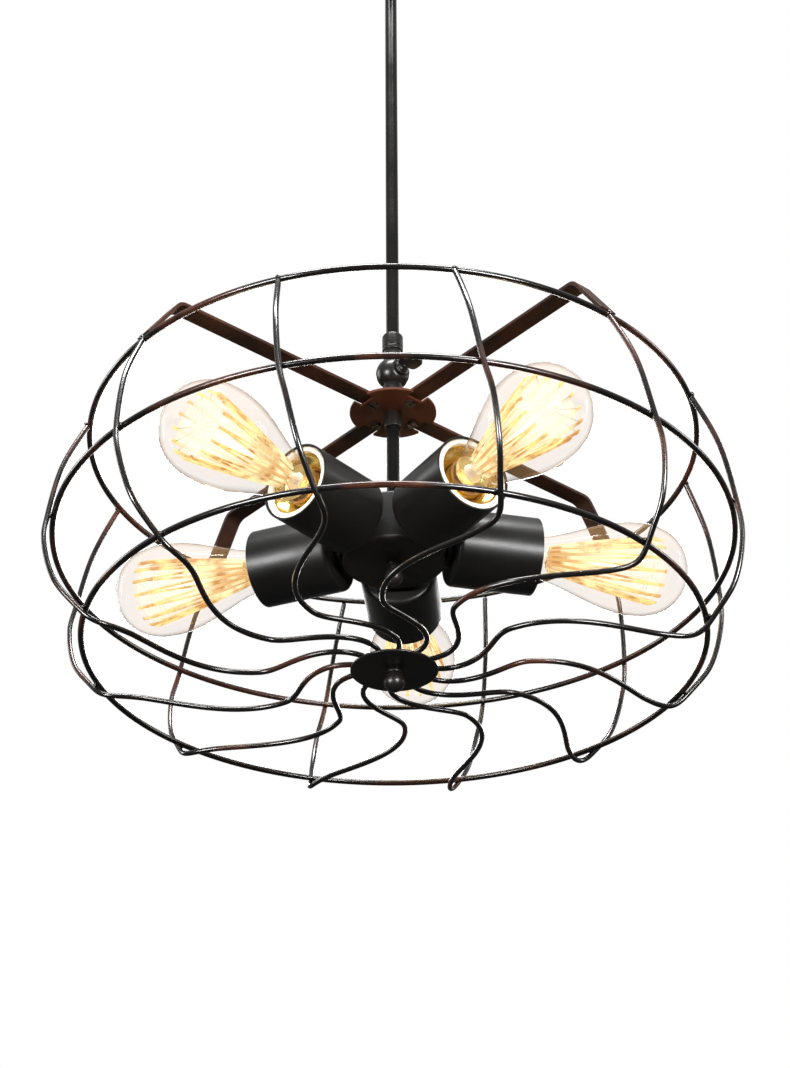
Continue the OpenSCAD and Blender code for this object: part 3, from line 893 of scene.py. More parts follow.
@dataclass
class Studio:
    """Pale floor, even sky and softboxes."""

    floor_height: float = -2.4
    floor_size: float = 60.0
    sky: float = 0.05
    mirror: Point = (0.05, 0.50)
    mirror_rise: Point = (-0.15, 0.75)
    boxes: tuple[Softbox, ...] = (
        Softbox(-38, -8, 2.2, 0.8, 0.40, 66),
        Softbox(34, -6, 2.2, 0.8, 0.40, 74),
        Softbox(-105, 20, 2.4, 0.5, 1.0, 14),
        Softbox(105, 20, 2.4, 0.5, 1.0, 14),
        Softbox(180, 30, 2.4, 1.6, 0.7, 34),
        Softbox(0, 68, 2.2, 1.6, 0.35, 110),
    )

    def _sky(self) -> None:
        """Makes a world that is white behind the object and softer as a light."""
        world = bpy.data.worlds.new("studio_sky")
        bpy.context.scene.world = world
        world.use_nodes = True
        nodes, link = world.node_tree.nodes, world.node_tree.links.new
        ground = nodes["Background"]
        path, way, split = (nodes.new("ShaderNode" + kind) for kind in ("LightPath", "TexCoord", "SeparateXYZ"))
        height, gloss, seen = (nodes.new("ShaderNodeMapRange") for _ in range(3))
        for key, value in zip(("From Min", "From Max", "To Min", "To Max"), (*self.mirror_rise, *self.mirror)):
            height.inputs[key].default_value = value
        gloss.inputs["To Min"].default_value = self.sky
        link(way.outputs["Generated"], split.inputs[0])
        link(split.outputs["Z"], height.inputs["Value"])
        link(height.outputs[0], gloss.inputs["To Max"])
        link(path.outputs["Is Glossy Ray"], gloss.inputs["Value"])
        link(path.outputs["Is Camera Ray"], seen.inputs["Value"])
        link(gloss.outputs[0], seen.inputs["To Min"])
        link(seen.outputs[0], ground.inputs["Strength"])
        ground.inputs["Color"].default_value = (1.0, 1.0, 1.0, 1.0)

    def _floor(self) -> None:
        """Makes the floor, a wide sheet that only the camera sees."""
        half, z = self.floor_size / 2, self.floor_height
        mesh = bpy.data.meshes.new("studio_floor")
        mesh.from_pydata([(-half, -half, z), (half, -half, z), (half, half, z), (-half, half, z)], [], [(0, 1, 2, 3)])
        mesh.materials.append(Finish.FLOOR.material())
        floor = linked("studio_floor", mesh)
        floor.visible_glossy = floor.visible_diffuse = False

    def build(self, target: Vector) -> None:
        """Builds the room.

        Args:
            target: The middle of the object.
        """
        self._sky()
        self._floor()
        for number, box in enumerate(self.boxes, 1):
            box.build(f"softbox_{number}", target)
        bpy.context.scene.view_settings.view_transform = "Standard"


@dataclass
class Viewpoint:
    """The camera, low in front of the object and looking up at it."""

    lens: float = 74.16
    sensor: float = 36.0
    rise: float = 31.25
    azimuth: float = 4.5
    swing: float = -0.042
    roll: float = -0.32
    distance: float = 1.2577
    below: float = 0.7471

    def build(self, level: float) -> None:
        """Places the camera.

        Args:
            level: Height of the middle ring.
        """
        data = bpy.data.cameras.new("camera")
        data.lens, data.sensor_width = self.lens, self.sensor
        camera = linked("camera", data)
        place = Matrix.Translation(polar(self.distance, self.azimuth, level - self.below))
        for angle, axis in ((self.azimuth + self.swing, "Z"), (90 + self.rise, "X"), (self.roll, "Z")):
            place @= Matrix.Rotation(math.radians(angle), 4, axis)
        camera.matrix_world = place
        bpy.context.scene.camera = camera


# --- ceiling and rod ---
@dataclass
class CeilingMount:
    """Spun canopy with two cap nuts, the rod's collar with its set screw, and the crossbar."""

    body: str = "ceiling_mount"
    sheet: float = 1.2 * MM
    corner: float = 8 * MM
    step: float = 0.7 * MM
    nut: float = 4.9 * MM
    nut_high: float = 3 * MM
    stud: float = 2 * MM
    stud_inset: float = 4.5 * MM
    dome: float = 4 * MM

    def canopy(self, rod: float) -> None:
        """Spins the canopy.

        Args:
            rod: Radius of the hanging rod.
        """
        low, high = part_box("canopy")
        r, z, bore, s, up = high.x, low.z, rod + 0.3 * MM, self.sheet, low.z + self.step
        face = [(bore, z), (r * 0.60, z), (r * 0.62, up), (r * 0.66, up), (r * 0.68, z), (r, z), (r, high.z)]
        back = [(r - s, high.z), (r - s, z + s), (bore, z + s)]
        profile = rounded(face, self.corner, 5) + rounded(back, self.corner - s, 5)
        Piece("ceiling_canopy", Finish.CUP, self.body, "black_coat", ["canopy"]).make(
            Turned(profile, 96, True), smooth=40)

    def cap_nuts(self) -> None:
        """Turns one stud with its cap nut and repeats it."""
        low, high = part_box("canopy_studs")
        face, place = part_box("canopy")[0].z, Matrix.Translation((high.x - self.stud_inset, 0, 0))
        foot = face - 2 * MM
        shank = [(0, high.z), *rounded([(self.stud, high.z), (self.stud, foot)], 0.1 * MM), (0, foot)]
        dome = ball_cap(self.dome, low.z + self.dome, -90, 20, 8) + [(0, face - 2.4 * MM)]
        Piece("canopy_cap_nuts", Finish.TURNED, self.body, "black_coat", ["canopy_studs"]).repeat(
                2, 90.0, Cut(hexagon(self.nut), face - self.nut_high, face, place),
                   Turned(shank, 16, place=place), Turned(dome, 24, place=place))

    def collar(self, rod: float) -> None:
        """Turns the collar that holds the canopy up, with its set screw.

        Args:
            rod: Radius of the hanging rod.
        """
        low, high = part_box("canopy_collar")
        outer, thick, socket, tip = -low.x, 2 * MM, 1.1 * MM, high.x - 1.2 * MM
        screw = rounded([(thick, outer - 1 * MM), (thick, high.x), (socket, high.x), (socket, tip)], 0.25 * MM)
        Piece("canopy_collar_turned", Finish.TURNED, self.body, "black_coat", ["canopy_collar"]).make(
            Turned(sleeve(rod + 0.1 * MM, outer, low.z, high.z, 1.2 * MM), closed=True),
             Turned([(0, outer - 1 * MM), *screw, (0, tip)], 24, place=outward(90, (low.z + high.z) / 2)))

    def bracket(self) -> None:
        """Dresses the crossbar, which is carried over from the CAD model."""
        piece, zinc = frame["nodes"]["ceiling_bracket"], Finish.ZINC.material()
        if not piece.material_slots:
            piece.data.materials.append(zinc)
        for slot in piece.material_slots:
            slot.material = zinc
        log.info("ceiling_bracket dressed in %s", zinc.name)

    def build(self, rod: float) -> None:
        """Builds the mount.

        Args:
            rod: Radius of the hanging rod.
        """
        self.canopy(rod)
        self.cap_nuts()
        self.collar(rod)
        self.bracket()


@dataclass
class Downrod:
    """The hanging tube and the collar at its foot."""

    body: str = "ceiling_mount"
    wall: float = 1.1 * MM
    groove_up: float = 2.6 * MM
    groove_deep: float = 0.5 * MM
    bore_deep: float = 6 * MM
    taper: float = 1.8 * MM

    def build(self) -> float:
        """Builds both pieces.

        Returns:
            Radius of the tube.
        """
        low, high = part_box("downrod")
        rod = high.x
        Piece("hanging_rod", Finish.ROD, self.body, "black_coat", ["downrod"]).make(
            Turned(sleeve(rod - self.wall, rod, low.z, high.z, 0.3 * MM), 48, True))
        foot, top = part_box("rod_coupler")
        r, bore, z, step = top.x, rod - self.wall, foot.z, foot.z + self.bore_deep
        groove, waist, lip = z + self.groove_up, r - self.groove_deep, rod + 0.1 * MM
        outline = [(bore, step), (bore, z), (r, z), (r, groove), (waist, groove + 0.3 * MM),
                   (waist, groove + 0.9 * MM), (r, groove + 1.2 * MM), (r, top.z - 1.6 * MM),
                   (r - self.taper, top.z), (lip, top.z), (lip, step)]
        Piece("rod_foot_collar", Finish.TURNED, self.body, "black_satin", ["rod_coupler"]).make(
            Turned(rounded(outline, 0.7 * MM), closed=True))
        return rod


@dataclass
class Knuckle:
    """Split ball that lets the basket hang level, with its clamping thumb screw."""

    azimuth: float = 42.0
    split: float = 0.1 * MM
    clearance: float = 0.12 * MM
    neck_share: float = 0.56
    seat_share: float = 0.8
    back_share: float = 0.9
    foot: float = 11 * MM
    boss: tuple[Point, ...] = ((5.4, 0), (5.4, 1.6), (4.2, 1.8), (4.2, 3), (2.8, 3.2), (2.8, 6))
    wing_thick: float = 3.2 * MM
    wing_wide: float = 16 * MM
    wing_long: float = 13 * MM
    wing_sides: int = 40
    waist: float = 0.10

    def __post_init__(self) -> None:
        """Reads the ball's centre and radius from its two halves."""
        top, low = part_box("knuckle_lower")[1].z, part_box("knuckle_upper")[0].z
        self.centre, self.radius = (top + low) / 2, (top - low) / 2
        self.neck = self.radius * self.neck_share
        self.place = outward(self.azimuth, self.centre)

    def _half(self, side: int, flat: float) -> Turned:
        """Half of the ball.

        Args:
            side: 1 toward the screw, -1 away from it.
            flat: Share of the radius where the half is cut flat.

        Returns:
            The shape.
        """
        r, start = self.radius, self.split if side > 0 else 0.0
        face = side * (r * flat + 0.05 * MM)
        arc = ball_cap(r, 0, 0, math.degrees(math.asin(flat)))
        arc = [(p, side * (q + (0 if k else start))) for k, (p, q) in enumerate(arc)]
        return Turned([(0, side * start), *arc, (arc[-1][0] - 0.4 * MM, face), (0, face)], place=self.place)

    def _neck(self, sign: int, outline: Sequence[Point]) -> Turned:
        """A neck whose end is hollowed to the ball.

        Args:
            sign: 1 above the ball, -1 below it.
            outline: Rest of the profile, as radius and distance from the ball's centre.

        Returns:
            The shape.
        """
        r = self.radius + self.clearance
        cup = ball_cap(r, 0, 90, math.degrees(math.acos(self.neck / r)), 6)
        profile = cup + rounded([(self.neck, cup[-1][1]), *outline], 0.8 * MM)[1:]
        return Turned([(p, self.centre + sign * q) for p, q in profile])

    def halves(self) -> None:
        """Builds the half that hangs on the rod and the half that carries the basket."""
        up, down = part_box("knuckle_upper")[1].z - self.centre, self.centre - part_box("knuckle_lower")[0].z
        neck = self.neck
        over = [(neck * 0.94, up - 2 * MM), (neck, up), (0, up)]
        under = [(neck, down - 6.5 * MM), (self.foot, down - 4 * MM), (self.foot, down), (0, down)]
        Piece("knuckle_rod_half", Finish.TURNED, "ceiling_mount", "black_satin", ["knuckle_upper"]).make(
            self._half(1, self.seat_share), self._neck(1, over))
        Piece("knuckle_basket_half", Finish.TURNED, "cage", "black_satin", ["knuckle_lower"]).make(
            self._half(-1, self.back_share), self._neck(-1, under))

    def screw(self) -> None:
        """Builds the stepped boss, the shaft and the wing."""
        seat = self.radius * self.seat_share
        steps = rounded([(r * MM, seat + 0.2 * MM + z * MM) for r, z in self.boss], 0.3 * MM)
        middle, outline = seat + 4 * MM + self.wing_long / 2, []
        for k in range(self.wing_sides):
            a = math.tau * k / self.wing_sides
            c, s = math.cos(a), math.sin(a)
            waist = 1 - self.waist * math.exp(-(c * 3) ** 2)
            outline.append((self.wing_wide / 2 * math.copysign(abs(c) ** 0.6, c),
                            middle + self.wing_long / 2 * waist * math.copysign(abs(s) ** 0.6, s)))
        flat = self.place @ Matrix(((0, 0, 1, 0), (1, 0, 0, 0), (0, 1, 0, 0), (0, 0, 0, 1)))
        Piece("thumb_screw_winged", Finish.TURNED, "thumb", "black_satin", ["thumb_screw"]).make(
            Turned([(0, seat + 0.2 * MM), *steps, (0, seat + 6.2 * MM)], 48, place=self.place),
             Cut(outline, -self.wing_thick / 2, self.wing_thick / 2, flat), bevel=0.7 * MM)

    def build(self) -> None:
        """Builds the knuckle."""
        self.halves()
        self.screw()


# --- hub plate, arms and lamp hub ---
@dataclass(frozen=True)
class RingLine:
    """Centre-line of a welded ring, read from its CAD node."""

    radius: float
    height: float
    wire: float

    @classmethod
    def of(cls, node: str) -> "RingLine":
        """Reads a ring.

        Args:
            node: Name of the CAD node.

        Returns:
            Its centre-line.
        """
        low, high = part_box(node)
        wire = (high.z - low.z) / 2
        return cls(high.x - wire, (low.z + high.z) / 2, wire)


@dataclass
class HubPlate:
    """Notched round plate, four bent arms screwed to it, and the screws."""

    body: str = "cage"
    arms: int = 4
    first: float = 45.0
    arm_wide: float = 13 * MM
    arm_thick: float = 2.5 * MM
    arm_inner: float = 12 * MM
    arm_bend: float = 5 * MM
    tab: float = 23 * MM
    notch: float = 7 * MM
    rim_parts: int = 14
    screw_reach: float = 18 * MM
    head: float = 3.8 * MM
    slot_deep: float = 0.9 * MM
    shank: float = 2 * MM

    def plate(self) -> None:
        """Cuts the plate."""
        low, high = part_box("hub_plate")
        r, half, gap, outline = high.x, self.arm_wide / 2, math.tau / self.arms, []
        edge = math.asin(half / r)
        rim = [mix(edge, gap - edge, k / self.rim_parts) for k in range(self.rim_parts + 1)]
        local = [(r - self.notch, -half), (r - self.notch, half), *((r * math.cos(a), r * math.sin(a)) for a in rim)]
        for arm in range(self.arms):
            turn = math.radians(self.first - 90) + gap * arm
            c, s = math.cos(turn), math.sin(turn)
            outline += [(x * c - y * s, x * s + y * c) for x, y in local]
        Piece("hub_plate_notched", Finish.PLATE, self.body, "black_coat", ["hub_plate"]).make(
            Cut(outline, low.z, high.z), bevel=0.35 * MM)

    def arm(self, number: int, ring: RingLine) -> None:
        """Bends one arm from the plate down to the top ring.

        Args:
            number: The arm, from 1.
            ring: The top ring.
        """
        low, t, inner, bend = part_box("hub_plate")[1].z, self.arm_thick, self.arm_inner, ring.radius - self.tab
        tip = ring.height + ring.wire + 0.2 * MM
        under = [(inner, low), (bend, low), (ring.radius - t / 2, tip)]
        over = [(ring.radius + t * 0.7, tip + 0.4 * MM), (bend + t / 2, low + t), (inner, low + t)]
        azimuth = self.first + 360 / self.arms * (number - 1)
        place = Matrix.Rotation(math.radians(azimuth - 90), 4, "Z") @ Matrix.Rotation(math.radians(90), 4, "X")
        outline = rounded(under, self.arm_bend, 5) + rounded(over, self.arm_bend, 5)
        Piece(f"arm_{number}_bent", Finish.ARM, self.body, "black_coat", [f"arm_{number}"]).make(
            Cut(outline, -self.arm_wide / 2, self.arm_wide / 2, place), bevel=0.4 * MM)

    def screws(self) -> None:
        """Makes one slotted screw with its nut and repeats it round the plate."""
        (low, high), (plate, top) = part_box("hub_screws"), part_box("hub_plate")
        nut, slot, end = top.z + self.arm_thick, low.z + self.slot_deep, high.z + 0.3 * MM
        head, shank = self.head, self.shank
        place = Matrix.Translation((self.screw_reach, 0, 0))
        lips = [[(head * 0.94 * math.cos(a + side), head * 0.94 * math.sin(a + side))
                 for a in (mix(0.14, math.pi - 0.14, k / 10) for k in range(11))] for side in (0, math.pi)]
        cheese = [(0, plate.z), *rounded([(head, plate.z), (head, slot)], 0.1 * MM), (0, slot)]
        bolt = [(0, nut), *rounded([(shank, nut), (shank, end)], 0.2 * MM), (0, end)]
        Piece("hub_plate_screws", Finish.SCREW_BLACK, self.body, "screw_steel", ["hub_screws"]).repeat(
                self.arms, self.first, Turned(cheese, 24, place=place),
                *(Cut(lip, low.z, low.z + 1 * MM, place) for lip in lips),
                   Cut(hexagon(head), nut, high.z, place), Turned(bolt, 16, place=place))

    def build(self, ring: RingLine) -> None:
        """Builds the plate, arms and screws.

        Args:
            ring: The top ring, which the arms reach down to.
        """
        self.plate()
        for number in range(1, self.arms + 1):
            self.arm(number, ring)
        self.screws()


@dataclass
class LampHub:
    """Stem, drum with its cover and ball, and the bosses that carry the cups."""

    body: str = "cage"
    lamps: int = 5
    first: float = 36.0
    wall: float = 2 * MM
    boss: float = 13 * MM
    nipple: float = 5 * MM
    collar: float = 12 * MM
    flange: float = 5 * MM
    slim: float = 2.6 * MM

    def stem(self) -> None:
        """Turns the stem and its two collars."""
        low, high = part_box("stem_tube")
        under, over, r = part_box("hub_plate")[0].z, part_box("lamp_hub")[1].z, high.x
        bore, wide, slim = r + 0.1 * MM, r + self.flange, r + self.slim
        bell = [(bore, over + 4 * MM), (bore, over), (wide, over), (wide, over + 1.4 * MM),
                (slim + 0.5 * MM, over + 3 * MM), (slim, over + 5 * MM), (slim, over + 8 * MM), (bore, over + 8 * MM)]
        Piece("stem", Finish.ROD, self.body, "black_coat", ["stem_tube"]).make(
            Turned(sleeve(r - 1.1 * MM, r, low.z, high.z, 0.3 * MM), 48, True))
        Piece("stem_collars_turned", Finish.TURNED, self.body, "black_coat", ["stem_collars"]).make(
            Turned(sleeve(bore, r + 1.4 * MM, under - self.collar, under, 0.5 * MM), 48, True),
             Turned(rounded(bell, 0.5 * MM), 48, True))

    def drum(self) -> None:
        """Spins the drum, its cover and the ball under it."""
        low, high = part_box("lamp_hub")
        r, w, ceiling = high.x, self.wall, high.z - self.wall
        bell = [(0, high.z), (r, high.z), (r, low.z), (r - w, low.z), (r - w, ceiling), (0, ceiling)]
        Piece("lamp_hub_drum", Finish.CUP, self.body, "black_coat", ["lamp_hub"]).make(
            Turned(rounded(bell, 1.6 * MM, 4), 96))
        face, edge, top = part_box("hub_cover")[0].z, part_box("hub_cover")[1].x, low.z
        rim = [(0, face), (edge - 2.4 * MM, face), (edge - 2.0 * MM, face + 0.25 * MM),
               (edge - 1.2 * MM, face + 0.1 * MM), (edge, face + 1.1 * MM), (edge, top), (r - 3 * MM, top), (0, top)]
        Piece("lamp_hub_cover", Finish.TURNED, self.body, "black_coat", ["hub_cover"]).make(
            Turned(rounded(rim, 0.35 * MM), 96))
        low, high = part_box("hub_finial")
        Piece("lamp_hub_ball", Finish.TURNED, self.body, "black_satin", ["hub_finial"]).make(
            Turned(hung_ball(face, low.z, high.x * 2), 48))

    def bosses(self) -> None:
        """Turns one boss with its threaded tube and repeats it for each cup."""
        cup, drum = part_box("socket_cup_3"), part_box("lamp_hub")[1].x
        back, end, slim = cup[0].y, cup[0].y + 8 * MM, self.boss * 0.8
        flare = [(slim, drum - 3 * MM), (slim, drum + 1 * MM), (self.boss, drum + 2.2 * MM), (self.boss, back)]
        profile = [(0, drum - 4 * MM), (slim, drum - 4 * MM), *rounded(flare, 0.7 * MM),
                   (self.nipple, back), (self.nipple, end), (0, end)]
        Piece("lamp_bosses", Finish.TURNED, self.body, "black_satin", ["socket_nipples"]).repeat(
                self.lamps, self.first, Turned(profile, 48, place=outward(90, (cup[0].z + cup[1].z) / 2)))

    def build(self) -> None:
        """Builds the hub."""
        self.stem()
        self.drum()
        self.bosses()


# --- lamps ---
@dataclass
class Lamp:
    """One lamp: cup, insulator, screw shell and a filament bulb, all about one axis."""

    number: int
    count: int = 5
    first: float = 36.0
    sheet: float = 1.2 * MM
    shell_wall: float = 0.6 * MM
    stem_bore: float = 3 * MM
    foot_drop: float = 3.6 * MM
    pitch: float = 3.6 * MM
    hooks: int = 15
    hook_wire: float = 0.28 * MM
    strand: float = 0.84 * MM
    strand_inner: float = 8.5 * MM
    strand_outer: float = 23 * MM
    strand_sag: float = 0.9 * MM
    strand_parts: int = 12
    shoulder: float = 0.68
    fold_turns: Point = (0.44, 0.56)
    fold: float = 2.2 * MM
    power: float = 0.24
    warmth: Colour = (1.0, 0.72, 0.40)

    def __post_init__(self) -> None:
        """Reads the stations along the axis from the third lamp, which lies along +Y."""
        cup, liner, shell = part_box("socket_cup_3"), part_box("lamp_liner_3"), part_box("lamp_shell_3")
        cap, glass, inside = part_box("bulb_cap_3"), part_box("bulb_glass_3"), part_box("bulb_filament_3")
        self.back, self.mouth, self.cup_radius = cup[0].y, cup[1].y, cup[1].x
        self.liner_low, self.liner_high, self.liner_radius = liner[0].y, liner[1].y, liner[1].x
        self.flare, self.flare_end = shell[1].x, shell[1].y
        self.cap_low, self.neck, self.cap_radius = cap[0].y, cap[1].y, cap[1].x
        self.tip, self.glass_radius = glass[1].y, glass[1].x
        self.post_foot, self.outer_z, self.inner_z = inside[0].y, inside[1].y - 1 * MM, self.neck + 17 * MM
        self.place = outward(self.first + 360 / self.count * (self.number - 1), (cup[0].z + cup[1].z) / 2)
        self.bulb = f"bulb_{self.number}"

    def _piece(self, name: str, finish: Finish, slot: str, node: str = "") -> Piece:
        """One of this lamp's pieces, of which those named for the bulb move with it."""
        body = self.bulb if name.startswith("bulb") else "cage"
        return Piece(f"{name}_{self.number}", finish, body, slot, [f"{node}_{self.number}"] if node else [])

    def cup(self) -> None:
        """Spins the cup from sheet."""
        r, s, hole, lip = self.cup_radius, self.sheet, 5.1 * MM, self.mouth - 0.1 * MM
        outer = rounded([(hole, self.back), (r, self.back), (r, lip)], 4 * MM, 6)
        inner = rounded([(r - s, lip), (r - s, self.back + s), (hole, self.back + s)], 2.8 * MM, 6)
        rim = [(r - s * 0.3, self.mouth), (r - s * 0.7, self.mouth)]
        self._piece("cup_shell", Finish.CUP, "black_coat", "socket_cup").make(
            Turned(outer + rim + inner, 96, True, self.place), smooth=40)

    def liner(self) -> None:
        """Moulds the white insulator."""
        r, low, high, bore, core = self.liner_radius, self.liner_low, self.liner_high, self.stem_bore, 13.9 * MM
        inner, web, seat, start = r - 3.7 * MM, low + 4 * MM, self.cap_low - self.foot_drop, (bore, low + 2 * MM)
        outline = [start, (bore, low), (r, low), (r, high), (inner, high), (inner, web), (core, web), (core, seat),
                   (bore, seat), start]
        self._piece("insulator", Finish.LINER, "white_liner", "lamp_liner").make(
            Turned(rounded(outline, 0.9 * MM)[:-1], 96, True, self.place), smooth=40)

    def shell(self) -> None:
        """Rolls the brass screw shell, its skirt and the centre contact."""
        bore, w, foot, hole = self.cap_radius + 0.35 * MM, self.shell_wall, self.cap_low - self.foot_drop, 3.6 * MM
        end, lip, rows, turns = self.flare_end, self.flare, 40, 8
        skirt = end - 9 * MM - w
        wall = [(bore, mix(foot + w + 1 * MM, skirt - 1 * MM, k / rows)) for k in range(rows + 1)]
        shares = [k / turns for k in range(1, turns + 1)]
        flare = [(mix(bore, lip, ease(t)), mix(skirt, end, t)) for t in shares]
        inside = [(hole, foot + w), *wall, *flare]
        outside = [(lip, end - w), *[(mix(bore + w, lip, ease(1 - t)), mix(end - w, skirt, t)) for t in shares],
                   (bore + w, skirt - 1 * MM), (bore + w, foot), (hole, foot)]

        def rolled(radius: float, angle: float, height: float) -> float:
            """Thread on the inner wall and slight unevenness on the skirt.

            Args:
                radius: Radius of the point.
                angle: Its angle in radians.
                height: Its height.

            Returns:
                What is added to the radius.
            """
            if foot + w < height <= skirt - 1 * MM and radius < bore + w / 2:
                return 0.28 * MM * (math.cos(angle - math.tau * height / self.pitch) - 1)
            return 0.18 * MM * math.sin(9 * angle) * max(0.0, (height - skirt) / (end - skirt))

        base, face, thin, wide = self.back + 12 * MM, self.cap_low, 2.4 * MM, 4.5 * MM
        post = rounded([(thin, base), (thin, face - 1.3 * MM), (wide, face - 1.2 * MM), (wide, face - 0.3 * MM)],
                       0.2 * MM)
        self._piece("screw_shell", Finish.BRASS, "brass_shell", "lamp_shell").make(
            Turned(inside + outside, 72, True, self.place, rolled),
            Turned([(0, base), *post, (0, face - 0.2 * MM)], 32, place=self.place), smooth=50)

    def cap(self) -> None:
        """Rolls the bulb's threaded cap, closed by its contact."""
        r, low, neck, rows = self.cap_radius, self.cap_low, self.neck, 60
        start, stop, inner = low + 4 * MM, neck - 2 * MM, r - 2 * MM
        foot = rounded([(4.2 * MM, low), (5 * MM, low + 0.6 * MM), (8 * MM, low + 2.4 * MM),
                        (r - 1.4 * MM, low + 3.4 * MM)], 0.5 * MM)
        wall = [(r - 0.5 * MM, mix(start, stop, k / rows)) for k in range(rows + 1)]
        hem = [(r, neck - 1.4 * MM), (r, neck), (inner, neck), (inner, low + 5.2 * MM), (8 * MM, low + 4.4 * MM),
               (0, low + 2 * MM)]

        def thread(radius: float, angle: float, height: float) -> float:
            """Rolled thread on the wall.

            Args:
                radius: Radius of the point.
                angle: Its angle in radians.
                height: Its height.

            Returns:
                What is added to the radius.
            """
            on_wall = start <= height <= stop and radius > r - 1 * MM
            fade = min(1.0, (height - start) / self.pitch, (stop - height) / self.pitch) if on_wall else 0.0
            return 0.5 * MM * fade * math.cos(angle - math.tau * height / self.pitch)

        self._piece("bulb_screw_cap", Finish.CAP, "bulb_cap", "bulb_cap").make(
            Turned([(0, low), *foot, *wall, *hem], place=self.place, bump=thread), smooth=50)

    def _glass_at(self, t: float) -> float:
        """Radius of the glass at a share of its length.

        Args:
            t: The share, from 0 at the cap to 1 at the tip.

        Returns:
            The radius.
        """
        s, top, neck = self.shoulder, self.glass_radius, self.cap_radius + 0.3 * MM
        if t < s:
            return mix(neck, top, ease(t / s) ** 0.92)
        return top * max(0.0, 1 - ((t - s) / (1 - s)) ** 2.35) ** 0.5

    def glass(self) -> None:
        """Blows the envelope."""
        s, side, dome, start = self.shoulder, 28, 22, self.neck + 0.05 * MM
        shares = [s * k / side for k in range(side)]
        shares += [s + (1 - s) * math.sin(math.radians(90 * k / dome)) for k in range(dome)]
        wall = [(self._glass_at(t), start + (self.tip - start) * t) for t in shares]
        profile = [(0, self.neck + 0.2 * MM), *wall, (0, self.tip)]
        self._piece("bulb_envelope", Finish.BULB, "amber_glass", "bulb_glass").make(
            Turned(profile, 72, place=self.place), smooth=80)

    def mount(self) -> None:
        """Makes the glass post and the heat disc on it."""
        low, end = self.post_foot, self.outer_z
        post = [(8.6, low), (8.6, low + 1.6 * MM), (6, low + 5 * MM), (3.2, low + 13 * MM), (2.4, low + 17 * MM),
                (1.7, low + 24 * MM), (1.7, end - 3 * MM), (3.2, end - 1.6 * MM), (3.2, end + 0.4 * MM)]
        post = rounded([(r * MM, z) for r, z in post], 1.2 * MM)
        self._piece("bulb_glass_post", Finish.POST, "amber_glass").make(
            Turned([(0, low), *post, (0, end + 0.8 * MM)], 40, place=self.place), smooth=60)
        rim, seat, hub = self.cap_radius - 0.6 * MM, low + 3.4 * MM, 2.2 * MM
        dish = [(hub, 0), (rim * 0.55, 0.5), (rim * 0.8, -0.3), (rim, 0.6), (rim, 0.9), (rim * 0.8, 0.1),
                (rim * 0.55, 0.9), (hub, 0.4)]
        self._piece("bulb_heat_disc", Finish.FOIL, "brass_shell").make(
            Turned(rounded([(r, seat + z * MM) for r, z in dish], 0.3 * MM), 60, True, self.place,
                   lambda r, a, h: 0.12 * MM * math.sin(7 * a + 900 * r)), smooth=60)

    def bloom(self) -> None:
        """Makes the soft body of light round the strands."""
        near, far, start, end = self.strand_inner, self.strand_outer, self.inner_z, self.outer_z
        body = [(mix(near, far, t) - 1.6 * MM + self.strand_sag * math.sin(math.pi * t), mix(start, end, t))
                for t in (k / self.strand_parts for k in range(self.strand_parts + 1))]
        profile = [(0, start - 3 * MM), *body, (far * 0.62, end + 7 * MM), (0, end + 9 * MM)]
        self._piece("bulb_bloom", Finish.BLOOM, "filament").make(
            Turned(rounded(profile, 9 * MM, 5), 48, place=self.place), smooth=90)

    def filament(self) -> None:
        """Bends the wire hooks and the zigzag of hot strands."""
        near, far, low, high = self.strand_inner, self.strand_outer, self.inner_z, self.outer_z
        step, parts = math.tau / self.hooks, self.strand_parts
        inner = [(1.5 * MM, low - 2 * MM), (5 * MM, low - 1.2 * MM), (near, low), (near + 0.7 * MM, low + 1 * MM)]
        outer = [(2.5 * MM, high - 0.6 * MM), (10 * MM, high - 1.4 * MM), (far, high),
                 (far + 0.6 * MM, high - 1.2 * MM)]
        for name, course, first in (("bulb_inner_hooks", inner, 0.0), ("bulb_outer_hooks", outer, step / 2)):
            self._piece(name, Finish.NICKEL, "plated_steel").grow(
                wire_tree(), line_mesh(name, [(r, 0, z) for r, z in course]), self.place, Count=self.hooks,
                First=first, Wire_radius=self.hook_wire, Sides=6)

        def knot(turn: float, radius: float, height: float) -> Vector:
            """Point at a share of the step between two hooks."""
            return Vector((radius * math.cos(turn * step), radius * math.sin(turn * step), height))

        sags = [(k / parts, self.strand_sag * math.sin(math.pi * k / parts)) for k in range(parts)]
        knots = [knot(t / 2, mix(near, far, t) + sag, mix(low, high, t)) for t, sag in sags]
        knots += [knot(t, far * 0.97, high + self.fold) for t in self.fold_turns]
        knots += [knot(0.5 + t / 2, mix(far, near, t) + sag, mix(high, low, t)) for t, sag in sags]
        self._piece("bulb_strands", Finish.FILAMENT, "filament", "bulb_filament").grow(
            wire_tree(), line_mesh("zigzag", [*knots, knot(1, near, low)]), self.place, Count=self.hooks,
            First=0.0, Wire_radius=self.strand, Sides=7)

    def glow(self) -> None:
        """Puts the warm light of the filament in the bulb."""
        data = bpy.data.lights.new(f"filament_light_{self.number}", "POINT")
        data.energy, data.color, data.shadow_soft_size = self.power, self.warmth, 14 * MM
        light = linked(data.name, data)
        light.location = self.place @ Vector((0, 0, mix(self.neck, self.tip, 0.5)))
        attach(light, self.bulb)

    def build(self) -> None:
        """Builds the lamp."""
        for step in (self.cup, self.liner, self.shell, self.cap, self.glass, self.mount, self.bloom, self.filament,
                     self.glow):
            step()


